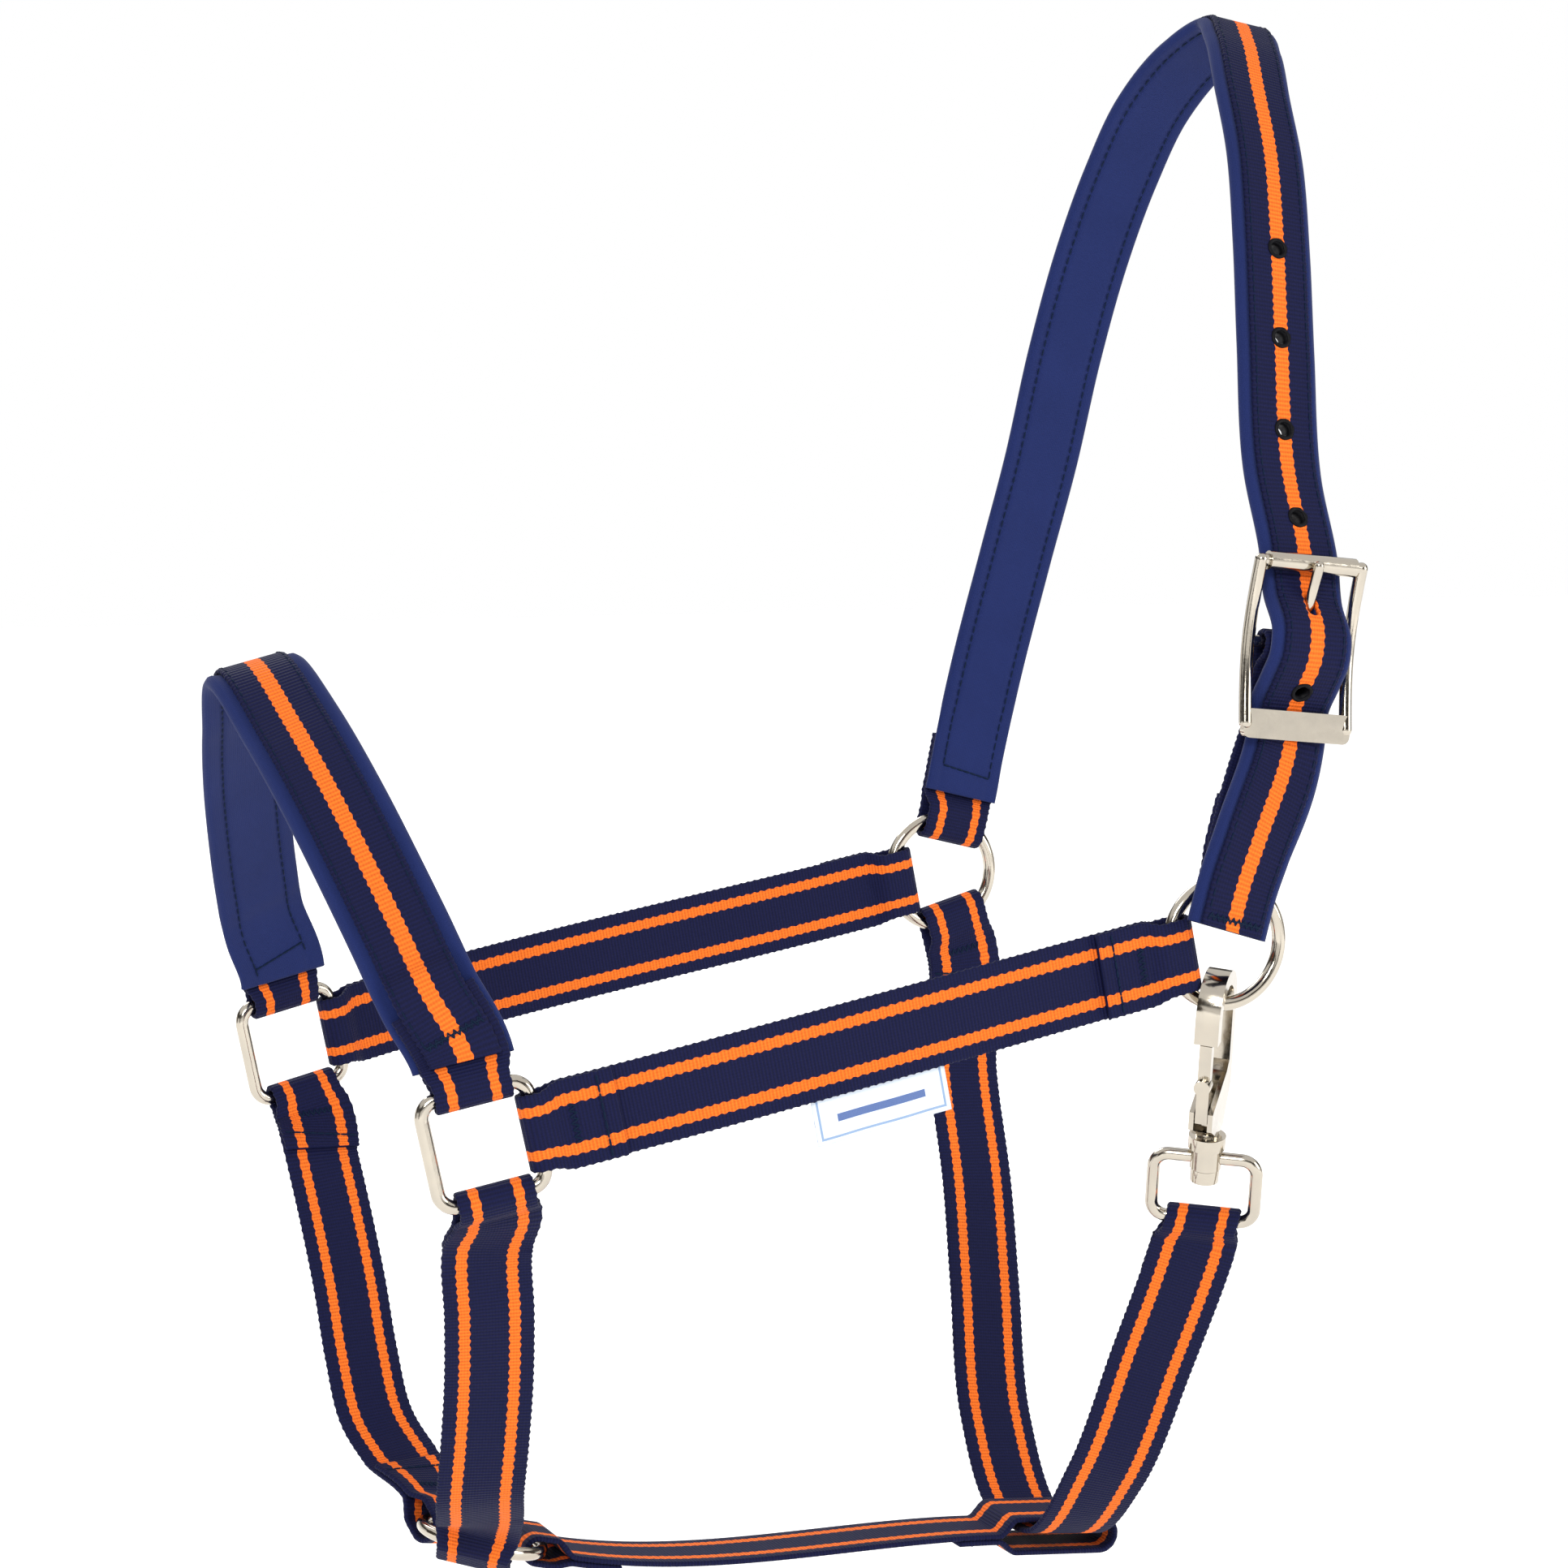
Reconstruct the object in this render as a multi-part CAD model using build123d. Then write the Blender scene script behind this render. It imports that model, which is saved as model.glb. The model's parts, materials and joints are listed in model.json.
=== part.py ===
from build123d import *
from math import asin, atan2, cos, hypot, radians, sin, sqrt
import os

# Horse head halter. Millimetres. Origin at the poll: the inside of the crown strap where it lies on
# the top of the head. +X runs towards the back of the head, +Z is up, and -Y is the near side (the
# horse's left), which carries the buckle and the snap hook. "near" and "far" name the two sides.

NEAR = -1
FAR = 1

# ---- Webbing and padding ------------------------------------------------------------------------
WEB_WIDTH = 25.0            # plain straps
WEB_THICKNESS = 1.6
TRIM_WIDTH = 20.0           # webbing sewn on the outside of the padded crown and noseband
TRIM_THICKNESS = 1.5
CROWN_PAD_WIDTH = 26.0      # soft padding of the crown
NOSE_PAD_WIDTH = 28.5       # soft padding of the noseband
PAD_THICKNESS = 3.4
PAD_END_THICKNESS = 2.0     # padding squeezed flat where it is sewn over a loop
LAYER_GAP = 0.15            # air between layers that lie on each other
FOLD_CLEARANCE = 0.52       # between a folded strap and the metal it wraps
FOLD_EASE = 6.0             # length over which a fold closes up into a flat double strap
FLAP_LENGTH = 15.0          # sewn-back end of a strap
LOOP_TAIL = 20.0            # tails of the short loops, sewn between padding and trim webbing
LOOP_TAIL_MARGIN = 5.0      # beyond them, before the padding and the trim close up
PINCH = 3.4                 # how much a strap gathers where it lies in a ring
STATION_PITCH = 4.0         # spacing of the cross-sections along a strap

# ---- Rings --------------------------------------------------------------------------------------
RING_WIRE = 2.0             # radius of the wire of every ring
RING_RADIUS = WEB_WIDTH / 2 + 5.5        # round rings, to the middle of the wire
SQUARE_HALF = WEB_WIDTH / 2 + 2.5        # square rings, centre to the middle of a bar
SQUARE_CORNER = 5.0

# ---- Layout of the halter -----------------------------------------------------------------------
ROUND_X = -54.0             # round rings, below the ears
ROUND_SPREAD = 98.0         # half the distance between the two round rings
ROUND_DROP = 268.0          # below the poll
SQUARE_X = -278.0           # square rings, beside the nose
SQUARE_SPREAD = 95.0
SQUARE_DROP = 312.0
SQUARE_TAPER = 8.0          # degrees that the sides of the nose close in towards the front
SQUARE_LEAN = 12.0          # degrees that the square rings lean forward
NOSE_X = -315.0             # top of the noseband arch
NOSE_RISE = 110.0           # noseband arch above the top bars of the square rings
CHIN_X = -248.0
CHIN_DROP = 448.0
CHIN_TILT = 14.0            # degrees that the chin ring slopes down towards the back
CHIN_SPREAD_ANGLE = 115.0   # degrees between the jaw strap and each drop strap round the chin ring
THROAT_X = -63.0            # lowest point of the throat strap
THROAT_DROP = 464.0

# ---- Buckle -------------------------------------------------------------------------------------
BUCKLE_X = -30.0
BUCKLE_SPREAD = 100.0
BUCKLE_DROP = 182.5
BUCKLE_ROD = 1.9            # radius of the frame's side rods
BUCKLE_LENGTH = 47.0        # roller bar to keeper bar, centre to centre
BUCKLE_SET_BACK = 3.0       # how far the middle bar sits behind the two end bars
BUCKLE_BAR = 1.75           # radius of the middle bar and of the bar in the roller
BUCKLE_SIDE_PLAY = 1.7      # between the crown strap and each side rod
ROLLER_RADIUS = 2.75
ROLLER_FIT = 0.1
KEEPER_HEIGHT = 8.5
KEEPER_THICKNESS = 2.2
TONGUE_RADIUS = 1.5
TONGUE_EYE = 2.1            # thickness of the tongue's eye round the middle bar
TONGUE_EYE_WIDTH = 4.4
TONGUE_FIT = 0.1
TONGUE_SWING = 14.0         # degrees that the tongue can lift off the roller
TONGUE_CROSSING = 10.5      # where the tongue passes the strap, above the middle bar
STRAP_RUB = 0.35            # between the crown strap and the metal it lies on
STRAP_BULGE = 1.2           # how far the crown strap stands off the middle bar

# ---- Crown strap --------------------------------------------------------------------------------
HOLE_RADIUS = 2.6
HOLE_PITCH = 28.0
HOLES_ABOVE_TONGUE = 4
TAIL_CLEARANCE = 1.3        # between the strap's loose end and the fold on the near ring under it

# ---- Snap hook ----------------------------------------------------------------------------------
SNAP_INWARD = 15.5          # degrees that the hanging snap leans in under the jaw
SNAP_BACKWARD = 4.8         # degrees that it leans towards the back of the head
HANG_ANGLE = 7.0            # degrees round the ring from its lowest point to the hook
HOOK_TURN = 50.0            # degrees from +X to the hook's spine, seen from above
HOOK_EYE = 7.4              # half the width of the hook's eye
HOOK_STOCK = 4.3            # thickness of the hook round its eye
HOOK_WIDTH = 7.0            # thickness of the hook across its eye
HOOK_LIFT = 6.0             # inside of the hook's top above the ring's wire centre
BEAK_END = 8.3              # beak tip below the ring's wire centre
EYE_END = 23.0              # floor of the eye below the ring's wire centre
BODY_END = 40.5             # bottom of the hook's body
GATE_THICKNESS = 3.2
GATE_WIDTH = 3.6
GATE_FIT = 0.25             # gap between the gate and what surrounds it
GATE_PIVOT = 33.5
GATE_TIP_GAP = 0.45         # between the gate and the beak
GATE_PIN = 1.1
GATE_AXIS = -HOOK_EYE + 0.3     # the gate's pin, from the swivel axis towards the gate side
STUD_RADIUS = 2.4
STUD_PLACE = 21.4
STUD_HEIGHT = 2.0
SPRING_RADIUS = 2.3
SPRING_WIDTH = 1.2
COLLAR_RADIUS = 5.5
COLLAR_HEIGHT = 3.9
SHAFT_RADIUS = 2.6
SHAFT_FIT = 0.1
BOSS_RADIUS = 4.6
BOSS_HEIGHT = 6.2
RIVET_RADIUS = 4.2
RIVET_HEIGHT = 4.0
SWIVEL_PLAY = 0.3           # end play of the shaft in the swivel loop
LOOP_HALF_WIDTH = WEB_WIDTH / 2 + 2.6    # swivel loop, centre to the middle of a side bar
LOOP_HEIGHT = 20.2          # swivel loop, top bar to bottom bar, centre to centre
LOOP_CORNER = 4.5
LOOP_BAR = 1.9
LOOP_TURN = 33.0            # degrees that the swivel loop faces forward

# ---- Label --------------------------------------------------------------------------------------
LABEL_LENGTH = 42.0
LABEL_HEIGHT = 17.0
LABEL_TUCK = 4.0            # part of the label hidden behind the cheek strap
LABEL_THICKNESS = 0.5
LABEL_PLACE = 0.51          # along the cheek strap, from the square ring


# ---- Small helpers ------------------------------------------------------------------------------
def turned(degrees):
    """Cosine and sine of an angle given in degrees."""
    return cos(radians(degrees)), sin(radians(degrees))


def eased(share):
    """Smooth step from 0 to 1."""
    return share * share * (3 - 2 * share)


def between(first, last, share):
    return first + (last - first) * share


def outlined(centre, across, normal, width, thickness):
    """Rectangular cross-section of a strap as a closed wire."""
    half_width = across * (width / 2)
    half_depth = normal * (thickness / 2)
    corners = [
        centre - half_width - half_depth,
        centre + half_width - half_depth,
        centre + half_width + half_depth,
        centre - half_width + half_depth,
    ]
    return Wire.make_polygon(corners, close=True)


def strip(stations):
    """Closed solid through stations of (centre, across, outward, width, thickness)."""
    outlines = []
    last = len(stations) - 1
    for index, (centre, across, outward, width, thickness) in enumerate(stations):
        before = stations[max(index - 1, 0)][0]
        after = stations[min(index + 1, last)][0]
        along = (after - before).normalized()
        normal = across.cross(along).normalized() if outward is None else outward
        if index and normal.dot(previous) < 0:
            normal = normal * -1
        previous = normal
        outlines.append(outlined(centre, across, normal, width, thickness))
    return Solid.make_loft(outlines, ruled=True)


def rod(path, radius):
    """Round rod along a wire."""
    return sweep(Plane(origin=path @ 0, z_dir=path % 0) * Circle(radius), path=path)


def run(points, acrosses, leave, arrive, inside):
    """Frames (point, across, outward) along a smooth curve through the points.

    leave and arrive are the directions in which the strap sets off from its two ends.
    inside is a point within the head, so that outward points away from it.
    """
    lengths = [(after - before).length for before, after in zip(points, points[1:])]
    slopes = [(after - before) / span for before, after, span in zip(points, points[1:], lengths)]
    headings = [leave]
    for index in range(1, len(points) - 1):
        before, after = lengths[index - 1], lengths[index]
        heading = slopes[index - 1] * after + slopes[index] * before
        headings.append(heading / (before + after))
    headings.append(arrive * -1)
    frames = []
    for leg, span in enumerate(lengths):
        steps = max(2, round(span / STATION_PITCH))
        for step in range(steps + (leg == len(lengths) - 1)):
            share = step / steps
            rest = 1 - share
            point = points[leg] * (rest * rest * (1 + 2 * share))
            point += points[leg + 1] * (share * share * (3 - 2 * share))
            point += headings[leg] * (span * share * rest * rest)
            point -= headings[leg + 1] * (span * share * share * rest)
            along = slopes[leg] * (6 * share * rest)
            along += headings[leg] * (rest * (1 - 3 * share))
            along += headings[leg + 1] * (share * (3 * share - 2))
            along = along.normalized()
            across = between(acrosses[leg], acrosses[leg + 1], share)
            across = (across - along * across.dot(along)).normalized()
            outward = across.cross(along)
            if outward.dot(point - inside) < 0:
                outward = outward * -1
            frames.append((point, across, outward))
    return frames


def covered(frames, length):
    """The first frames of a run, up to a length."""
    kept = [frames[0]]
    travelled = 0.0
    for before, after in zip(frames, frames[1:]):
        travelled += (after[0] - before[0]).length
        if travelled > length:
            break
        kept.append(after)
    return kept


def lifted(frames, offset, width, thickness):
    """Stations on the frames, moved outward by an offset."""
    return [
        (point + outward * offset, across, outward, width, thickness)
        for point, across, outward in frames
    ]


def folded(wrap, lay, width, thickness):
    """Stations of a fold, from the flap side round the metal to the main side.

    wrap is (origin, leave, across, outward, inner, turn_at, open_to, fold_width, side):
    the strap turns round a circle of radius inner, turn_at along leave from the origin, and stays
    open up to open_to. side is 1 where the flap lies outside the main strap, and -1 inside.
    """
    origin, leave, across, outward, inner, turn_at, open_to, fold_width, side = wrap
    half = inner + thickness / 2
    join = open_to + FOLD_EASE
    route = []
    for share in (0.0, 0.25, 0.5, 0.75, 1.0):
        route.append((between(join, open_to, share), between(lay, half, eased(share)), share))
    for angle in range(90, 271, 30):
        cosine, sine = turned(angle)
        route.append((turn_at + half * cosine, half * sine, 1.0))
    for share in (0.0, 0.25, 0.5, 0.75, 1.0):
        route.append((between(open_to, join, share), between(-half, 0.0, eased(share)), 1.0 - share))
    stations = []
    for reach, height, share in route:
        centre = origin + leave * reach + outward * (height * side)
        stations.append((centre, across, None, between(width, fold_width, eased(share)), thickness))
    return stations


def joined_at(wrap):
    """Point where the fold has closed and the single strap goes on."""
    origin, leave, across, outward, inner, turn_at, open_to, fold_width, side = wrap
    return origin + leave * (open_to + FOLD_EASE)


def bar_wrap(bar_point, leave, across, outward, bar_radius, side, pinch=PINCH):
    """Fold round a straight bar."""
    inner = bar_radius + FOLD_CLEARANCE
    return (bar_point, leave, across, outward, inner, 0.0, bar_radius, WEB_WIDTH - pinch, side)


def ring_wrap(centre, normal, radial, leave, outward, side):
    """Fold round a round ring, at the direction radial from the ring's centre."""
    fold_width = WEB_WIDTH - PINCH
    reach = sqrt(RING_RADIUS**2 - (fold_width / 2) ** 2)
    wire = RING_WIRE * RING_RADIUS / reach
    across = normal.cross(radial).normalized()
    leave = leave.normalized()
    height = across.cross(leave)
    if height.dot(outward) < 0:
        height = height * -1
    slant = abs(leave.dot(normal))
    middle = radial * ((RING_RADIUS + reach) / 2)
    origin = centre + height * middle.dot(height)
    inner = wire + FOLD_CLEARANCE + (RING_RADIUS - reach) / 2 * slant
    turn_at = reach * leave.dot(radial)
    open_to = RING_RADIUS * leave.dot(radial) + RING_WIRE
    return (origin, leave, across, height, inner, turn_at, open_to, fold_width, side)


def webbing_strap(start, end, frames):
    """Plain strap with a sewn-back fold at each end."""
    lay = WEB_THICKNESS + LAYER_GAP
    backwards = frames[::-1]
    stations = lifted(covered(frames, FLAP_LENGTH)[:0:-1], lay * start[-1], WEB_WIDTH, WEB_THICKNESS)
    stations += folded(start, lay, WEB_WIDTH, WEB_THICKNESS)
    stations += lifted(frames[1:-1], 0.0, WEB_WIDTH, WEB_THICKNESS)
    stations += folded(end, lay, WEB_WIDTH, WEB_THICKNESS)[::-1]
    stations += lifted(covered(backwards, FLAP_LENGTH)[1:], lay * end[-1], WEB_WIDTH, WEB_THICKNESS)
    return strip(stations)


def short_loop(wrap, frames):
    """Short loop of webbing whose two tails are sewn between padding and trim."""
    lay = WEB_THICKNESS + LAYER_GAP
    tail = covered(frames, LOOP_TAIL)
    stations = lifted(tail[:0:-1], lay * wrap[-1], WEB_WIDTH, WEB_THICKNESS)
    stations += folded(wrap, lay, WEB_WIDTH, WEB_THICKNESS)
    stations += lifted(tail[1:], 0.0, WEB_WIDTH, WEB_THICKNESS)
    return strip(stations)


# ---- Directions and places shared by the sub-parts ----------------------------------------------
UP = Vector(0, 0, 1)
BACK = Vector(1, 0, 0)
SIDEWAYS = Vector(0, 1, 0)


def round_centre(side):
    return Vector(ROUND_X, side * ROUND_SPREAD, -ROUND_DROP)


def square_centre(side):
    return Vector(SQUARE_X, side * SQUARE_SPREAD, -SQUARE_DROP)


def tapered(side, taper, lean):
    """Axes (back, up, outward) of a surface that closes in and leans towards the nose."""
    cos_taper, sin_taper = turned(taper)
    cos_lean, sin_lean = turned(lean)
    back = Vector(cos_taper * cos_lean, side * sin_taper * cos_lean, sin_lean)
    up = Vector(-cos_taper * sin_lean, -side * sin_taper * sin_lean, cos_lean)
    outward = Vector(-sin_taper, side * cos_taper, 0)
    return back, up, outward


def leaning(direction, outward, angle):
    """Direction and outward turned towards the head by an angle."""
    cosine, sine = turned(angle)
    return direction * cosine - outward * sine, outward * cosine + direction * sine


def cheek_direction(side):
    """From the round ring towards the square ring, in the round ring's plane."""
    away = square_centre(side) - round_centre(side)
    return Vector(away.X, 0, away.Z).normalized()


CHIN_CENTRE = Vector(CHIN_X, 0, -CHIN_DROP)
CHIN_BACK = Vector(turned(CHIN_TILT)[0], 0, -turned(CHIN_TILT)[1])
CHIN_NORMAL = Vector(turned(CHIN_TILT)[1], 0, turned(CHIN_TILT)[0])


def chin_radial(side):
    """Direction from the chin ring's centre to where a drop strap lies on it."""
    cosine, sine = turned(CHIN_SPREAD_ANGLE)
    return CHIN_BACK * cosine + SIDEWAYS * (side * sine)


# Snap hook axes: it hangs along SNAP_DOWN from a point low on the near ring's wire.
HANG_ACROSS, HANG_DOWN = turned(90 - HANG_ANGLE)
RING_BOTTOM = round_centre(NEAR) - (BACK * HANG_ACROSS + UP * HANG_DOWN) * RING_RADIUS
SNAP_DOWN = Vector(turned(SNAP_BACKWARD)[1], turned(SNAP_INWARD)[1], -turned(SNAP_INWARD)[0]).normalized()
HOOK_SPINE = Vector(turned(HOOK_TURN)[0], turned(HOOK_TURN)[1], 0)
HOOK_SPINE = (HOOK_SPINE - SNAP_DOWN * HOOK_SPINE.dot(SNAP_DOWN)).normalized()
LOOP_ACROSS = Vector(turned(LOOP_TURN)[0], -turned(LOOP_TURN)[1], 0)
LOOP_ACROSS = (LOOP_ACROSS - SNAP_DOWN * LOOP_ACROSS.dot(SNAP_DOWN)).normalized()
COLLAR_TOP = BODY_END + 1.5
BOSS_TOP = COLLAR_TOP + COLLAR_HEIGHT + SWIVEL_PLAY
BOSS_END = BOSS_TOP + BOSS_HEIGHT
LOOP_TOP_BAR = BOSS_TOP + BOSS_HEIGHT / 2
LOOP_BOTTOM_BAR = LOOP_TOP_BAR + LOOP_HEIGHT

# Buckle axes: across the strap, down along it, and outward from the head.
BUCKLE_DOWN = Vector(-0.10, 0, -1).normalized()
BUCKLE_ACROSS = Vector(-BUCKLE_DOWN.Z, 0, BUCKLE_DOWN.X)
BUCKLE_OUT = Vector(0, -1, 0)
BUCKLE_INNER_HALF = CROWN_PAD_WIDTH / 2 + BUCKLE_SIDE_PLAY
BUCKLE_SIDE = BUCKLE_INNER_HALF + BUCKLE_ROD
STACK_THICKNESS = PAD_THICKNESS + TRIM_THICKNESS + LAYER_GAP
STACK_INNER = PAD_THICKNESS + LAYER_GAP / 2   # from the seam between the layers to the padding's face
STACK_OUTER = TRIM_THICKNESS + LAYER_GAP / 2  # from the seam to the trim's face
EYE_RADIUS = BUCKLE_BAR + TONGUE_FIT + TONGUE_EYE


def buckle_point(across, down, out):
    """Point in the buckle's own axes; the end bars' middle plane is at out = 0."""
    middle = Vector(BUCKLE_X, -BUCKLE_SPREAD, -BUCKLE_DROP)
    return middle + BUCKLE_ACROSS * across + BUCKLE_DOWN * down + BUCKLE_OUT * out


def snap_point(spine, down, across=0.0):
    """Point in the snap hook's own axes."""
    side = SNAP_DOWN.cross(HOOK_SPINE)
    return RING_BOTTOM + HOOK_SPINE * spine + SNAP_DOWN * down + side * across


# ---- Rings --------------------------------------------------------------------------------------
def round_ring(centre, normal):
    return Solid.make_torus(RING_RADIUS, RING_WIRE, Plane(origin=centre, z_dir=normal))


def square_ring(side):
    back, up, outward = tapered(side, SQUARE_TAPER, SQUARE_LEAN)
    plane = Plane(origin=square_centre(side), x_dir=back, z_dir=back.cross(up))
    path = (plane * RectangleRounded(2 * SQUARE_HALF, 2 * SQUARE_HALF, SQUARE_CORNER)).wire()
    return rod(path, RING_WIRE)


# ---- Cheek straps -------------------------------------------------------------------------------
def cheek_parts(side):
    """Folds and frames of a cheek strap, from the square ring back to the round ring."""
    back, up, outward = tapered(side, SQUARE_TAPER, SQUARE_LEAN)
    inside = Vector((SQUARE_X + ROUND_X) / 2, 0, -(SQUARE_DROP + ROUND_DROP) / 2)
    bar = square_centre(side) + back * SQUARE_HALF
    start = bar_wrap(bar, back, up, outward, RING_WIRE, 1)
    radial = cheek_direction(side)
    end = ring_wrap(round_centre(side), SIDEWAYS, radial, radial, SIDEWAYS * side, 1)
    rising = end[2] if end[2].Z > 0 else end[2] * -1
    end = end[:2] + (rising,) + end[3:]
    frames = run([joined_at(start), joined_at(end)], [up, rising], back, radial, inside)
    return start, end, frames


def cheek_strap(side):
    start, end, frames = cheek_parts(side)
    return webbing_strap(start, end, frames)


def size_label():
    """Flat tag sewn to the inside of the near cheek strap's lower edge."""
    start, end, frames = cheek_parts(NEAR)
    point, across, outward = frames[round(LABEL_PLACE * (len(frames) - 1))]
    along = across.cross(outward).normalized()
    inset = WEB_THICKNESS / 2 + 2 * LAYER_GAP + LABEL_THICKNESS / 2
    middle = point - across * (WEB_WIDTH / 2 + LABEL_HEIGHT / 2 - LABEL_TUCK) - outward * inset
    plane = Plane(origin=middle, x_dir=along, z_dir=outward)
    return plane * Box(LABEL_LENGTH, LABEL_HEIGHT, LABEL_THICKNESS)


# ---- Noseband -----------------------------------------------------------------------------------
# Share of the half spread, share of the rise, for each point between a square ring and the top.
NOSE_SHAPE = [(0.90, 0.24), (0.81, 0.37), (0.69, 0.51), (0.51, 0.69), (0.285, 0.86)]
NOSE_INWARD = 15.0          # degrees that the noseband leans in as it leaves a square ring
NOSE_LEAN = 14.0
NOSE_TAPER = 15.0


def nose_points(side):
    """Points of one half of the noseband above its fold, lowest first."""
    back, up, outward = tapered(side, SQUARE_TAPER, SQUARE_LEAN)
    bar = square_centre(side) + up * SQUARE_HALF
    points = []
    for out_share, rise_share in NOSE_SHAPE:
        forward = (NOSE_X - bar.X) * rise_share**0.9
        points.append(Vector(bar.X + forward, bar.Y * out_share, bar.Z + NOSE_RISE * rise_share))
    return points


def noseband_parts():
    near_axes = tapered(NEAR, SQUARE_TAPER, SQUARE_LEAN)
    far_axes = tapered(FAR, SQUARE_TAPER, SQUARE_LEAN)
    near_bar = square_centre(NEAR) + near_axes[1] * SQUARE_HALF
    far_bar = square_centre(FAR) + far_axes[1] * SQUARE_HALF
    near_leave, near_out = leaning(near_axes[1], near_axes[2], NOSE_INWARD)
    far_leave, far_out = leaning(far_axes[1], far_axes[2], NOSE_INWARD)
    start = bar_wrap(near_bar, near_leave, near_axes[0], near_out, RING_WIRE, 1)
    end = bar_wrap(far_bar, far_leave, far_axes[0], far_out, RING_WIRE, 1)
    top = Vector(NOSE_X, 0, near_bar.Z + NOSE_RISE)
    near_points = nose_points(NEAR)
    far_points = nose_points(FAR)
    points = [joined_at(start)] + near_points + [top] + far_points[::-1] + [joined_at(end)]
    near_across = tapered(NEAR, NOSE_TAPER, NOSE_LEAN)[0]
    far_across = tapered(FAR, NOSE_TAPER, NOSE_LEAN)[0]
    top_across = tapered(FAR, 0, NOSE_LEAN)[0]
    acrosses = [near_axes[0]] + [near_across] * 5 + [top_across] + [far_across] * 5 + [far_axes[0]]
    inside = Vector(NOSE_X + 30, 0, -SQUARE_DROP)
    frames = run(points, acrosses, near_leave, far_leave, inside)
    return start, end, frames


def layer_stations(frames, start_tail, end_tail, pad_width):
    """Stations of the padding, or of the trim without a pad width.

    They part near an end with a tail length, where the tails of a loop lie between them.
    """
    lay = WEB_THICKNESS + LAYER_GAP
    parting = LOOP_TAIL_MARGIN + FOLD_EASE
    travelled = [0.0]
    for before, after in zip(frames, frames[1:]):
        travelled.append(travelled[-1] + (after[0] - before[0]).length)
    stations = []
    for (point, across, outward), reach in zip(frames, travelled):
        start_share = (start_tail + parting - reach) / FOLD_EASE if start_tail else 0.0
        end_share = (end_tail + parting - travelled[-1] + reach) / FOLD_EASE if end_tail else 0.0
        spread = eased(min(1.0, max(0.0, start_share, end_share)))
        if pad_width:
            thickness = between(PAD_THICKNESS, PAD_END_THICKNESS, spread)
            offset = -LAYER_GAP / 2 - thickness / 2 - spread * (WEB_THICKNESS / 2 + LAYER_GAP / 2)
            stations.append((point + outward * offset, across, outward, pad_width, thickness))
        else:
            offset = LAYER_GAP / 2 + TRIM_THICKNESS / 2
            offset += spread * (lay + WEB_THICKNESS / 2 + LAYER_GAP / 2)
            stations.append((point + outward * offset, across, outward, TRIM_WIDTH, TRIM_THICKNESS))
    return stations


# ---- Crown strap --------------------------------------------------------------------------------
# Share of the ring spread, share of the ring drop, forward offset, for points below the poll.
CROWN_SHAPE = [(0.155, 0.010, -4.5), (0.345, 0.071, -11), (0.490, 0.145, -14.5), (0.620, 0.246, -19),
               (0.725, 0.358, -23), (0.835, 0.492, -26.5)]
CROWN_FAR_SHAPE = [(0.935, 0.612, -31), (1.015, 0.757, -38), (1.030, 0.855, -43.5)]
CROWN_TOP = PAD_THICKNESS + LAYER_GAP / 2     # the padding's inside is at the poll
CROWN_TILT = 10.0           # degrees that the crown slopes down towards the back, across its width
CROWN_LOW_TILT = 18.0


def crown_point(side, out_share, drop_share, offset):
    return Vector(offset, side * ROUND_SPREAD * out_share, -ROUND_DROP * drop_share)


def crown_across(tilt):
    return Vector(turned(tilt)[0], 0, -turned(tilt)[1])


def crown_ring_radial(side):
    """Direction from a round ring's centre to the strap above it."""
    return Vector(turned(76)[0], 0, turned(76)[1])


def buckle_stack_points():
    """Seam of the crown strap where it weaves through the buckle, from the top down."""
    half = BUCKLE_LENGTH / 2
    keeper_edge = half - KEEPER_HEIGHT / 2
    behind_roller = -ROLLER_RADIUS - STRAP_RUB - STACK_OUTER
    behind_keeper = -KEEPER_THICKNESS / 2 - STRAP_RUB - STACK_OUTER
    over_bar = -BUCKLE_SET_BACK + EYE_RADIUS + STRAP_RUB + STRAP_BULGE + STACK_INNER
    swing = over_bar - behind_roller
    return [
        buckle_point(0, -half - 1.0, behind_roller - 0.8),
        buckle_point(0, -half * 0.62, behind_roller + swing * 0.27),
        buckle_point(0, -half * 0.15, over_bar),
        buckle_point(0, half * 0.15, over_bar),
        buckle_point(0, between(half * 0.15, keeper_edge, 0.5), between(over_bar, behind_keeper, 0.5)),
        buckle_point(0, keeper_edge, behind_keeper - 0.3),
        buckle_point(0, half + KEEPER_HEIGHT / 2, behind_keeper - 0.3),
    ]


def tail_points():
    """Seam of the strap's loose end, which lies over the near round ring and its fold."""
    over_fold = RING_WIRE + FOLD_CLEARANCE + WEB_THICKNESS + STRAP_RUB + STACK_INNER
    ring = round_centre(NEAR) - SIDEWAYS * (over_fold + TAIL_CLEARANCE)
    return [
        ring + Vector(5.5, 1.3, RING_RADIUS + 11),
        ring + Vector(0.5, 0, RING_RADIUS),
        ring + Vector(-3.6, -0.4, 4.5),
    ]


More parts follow.
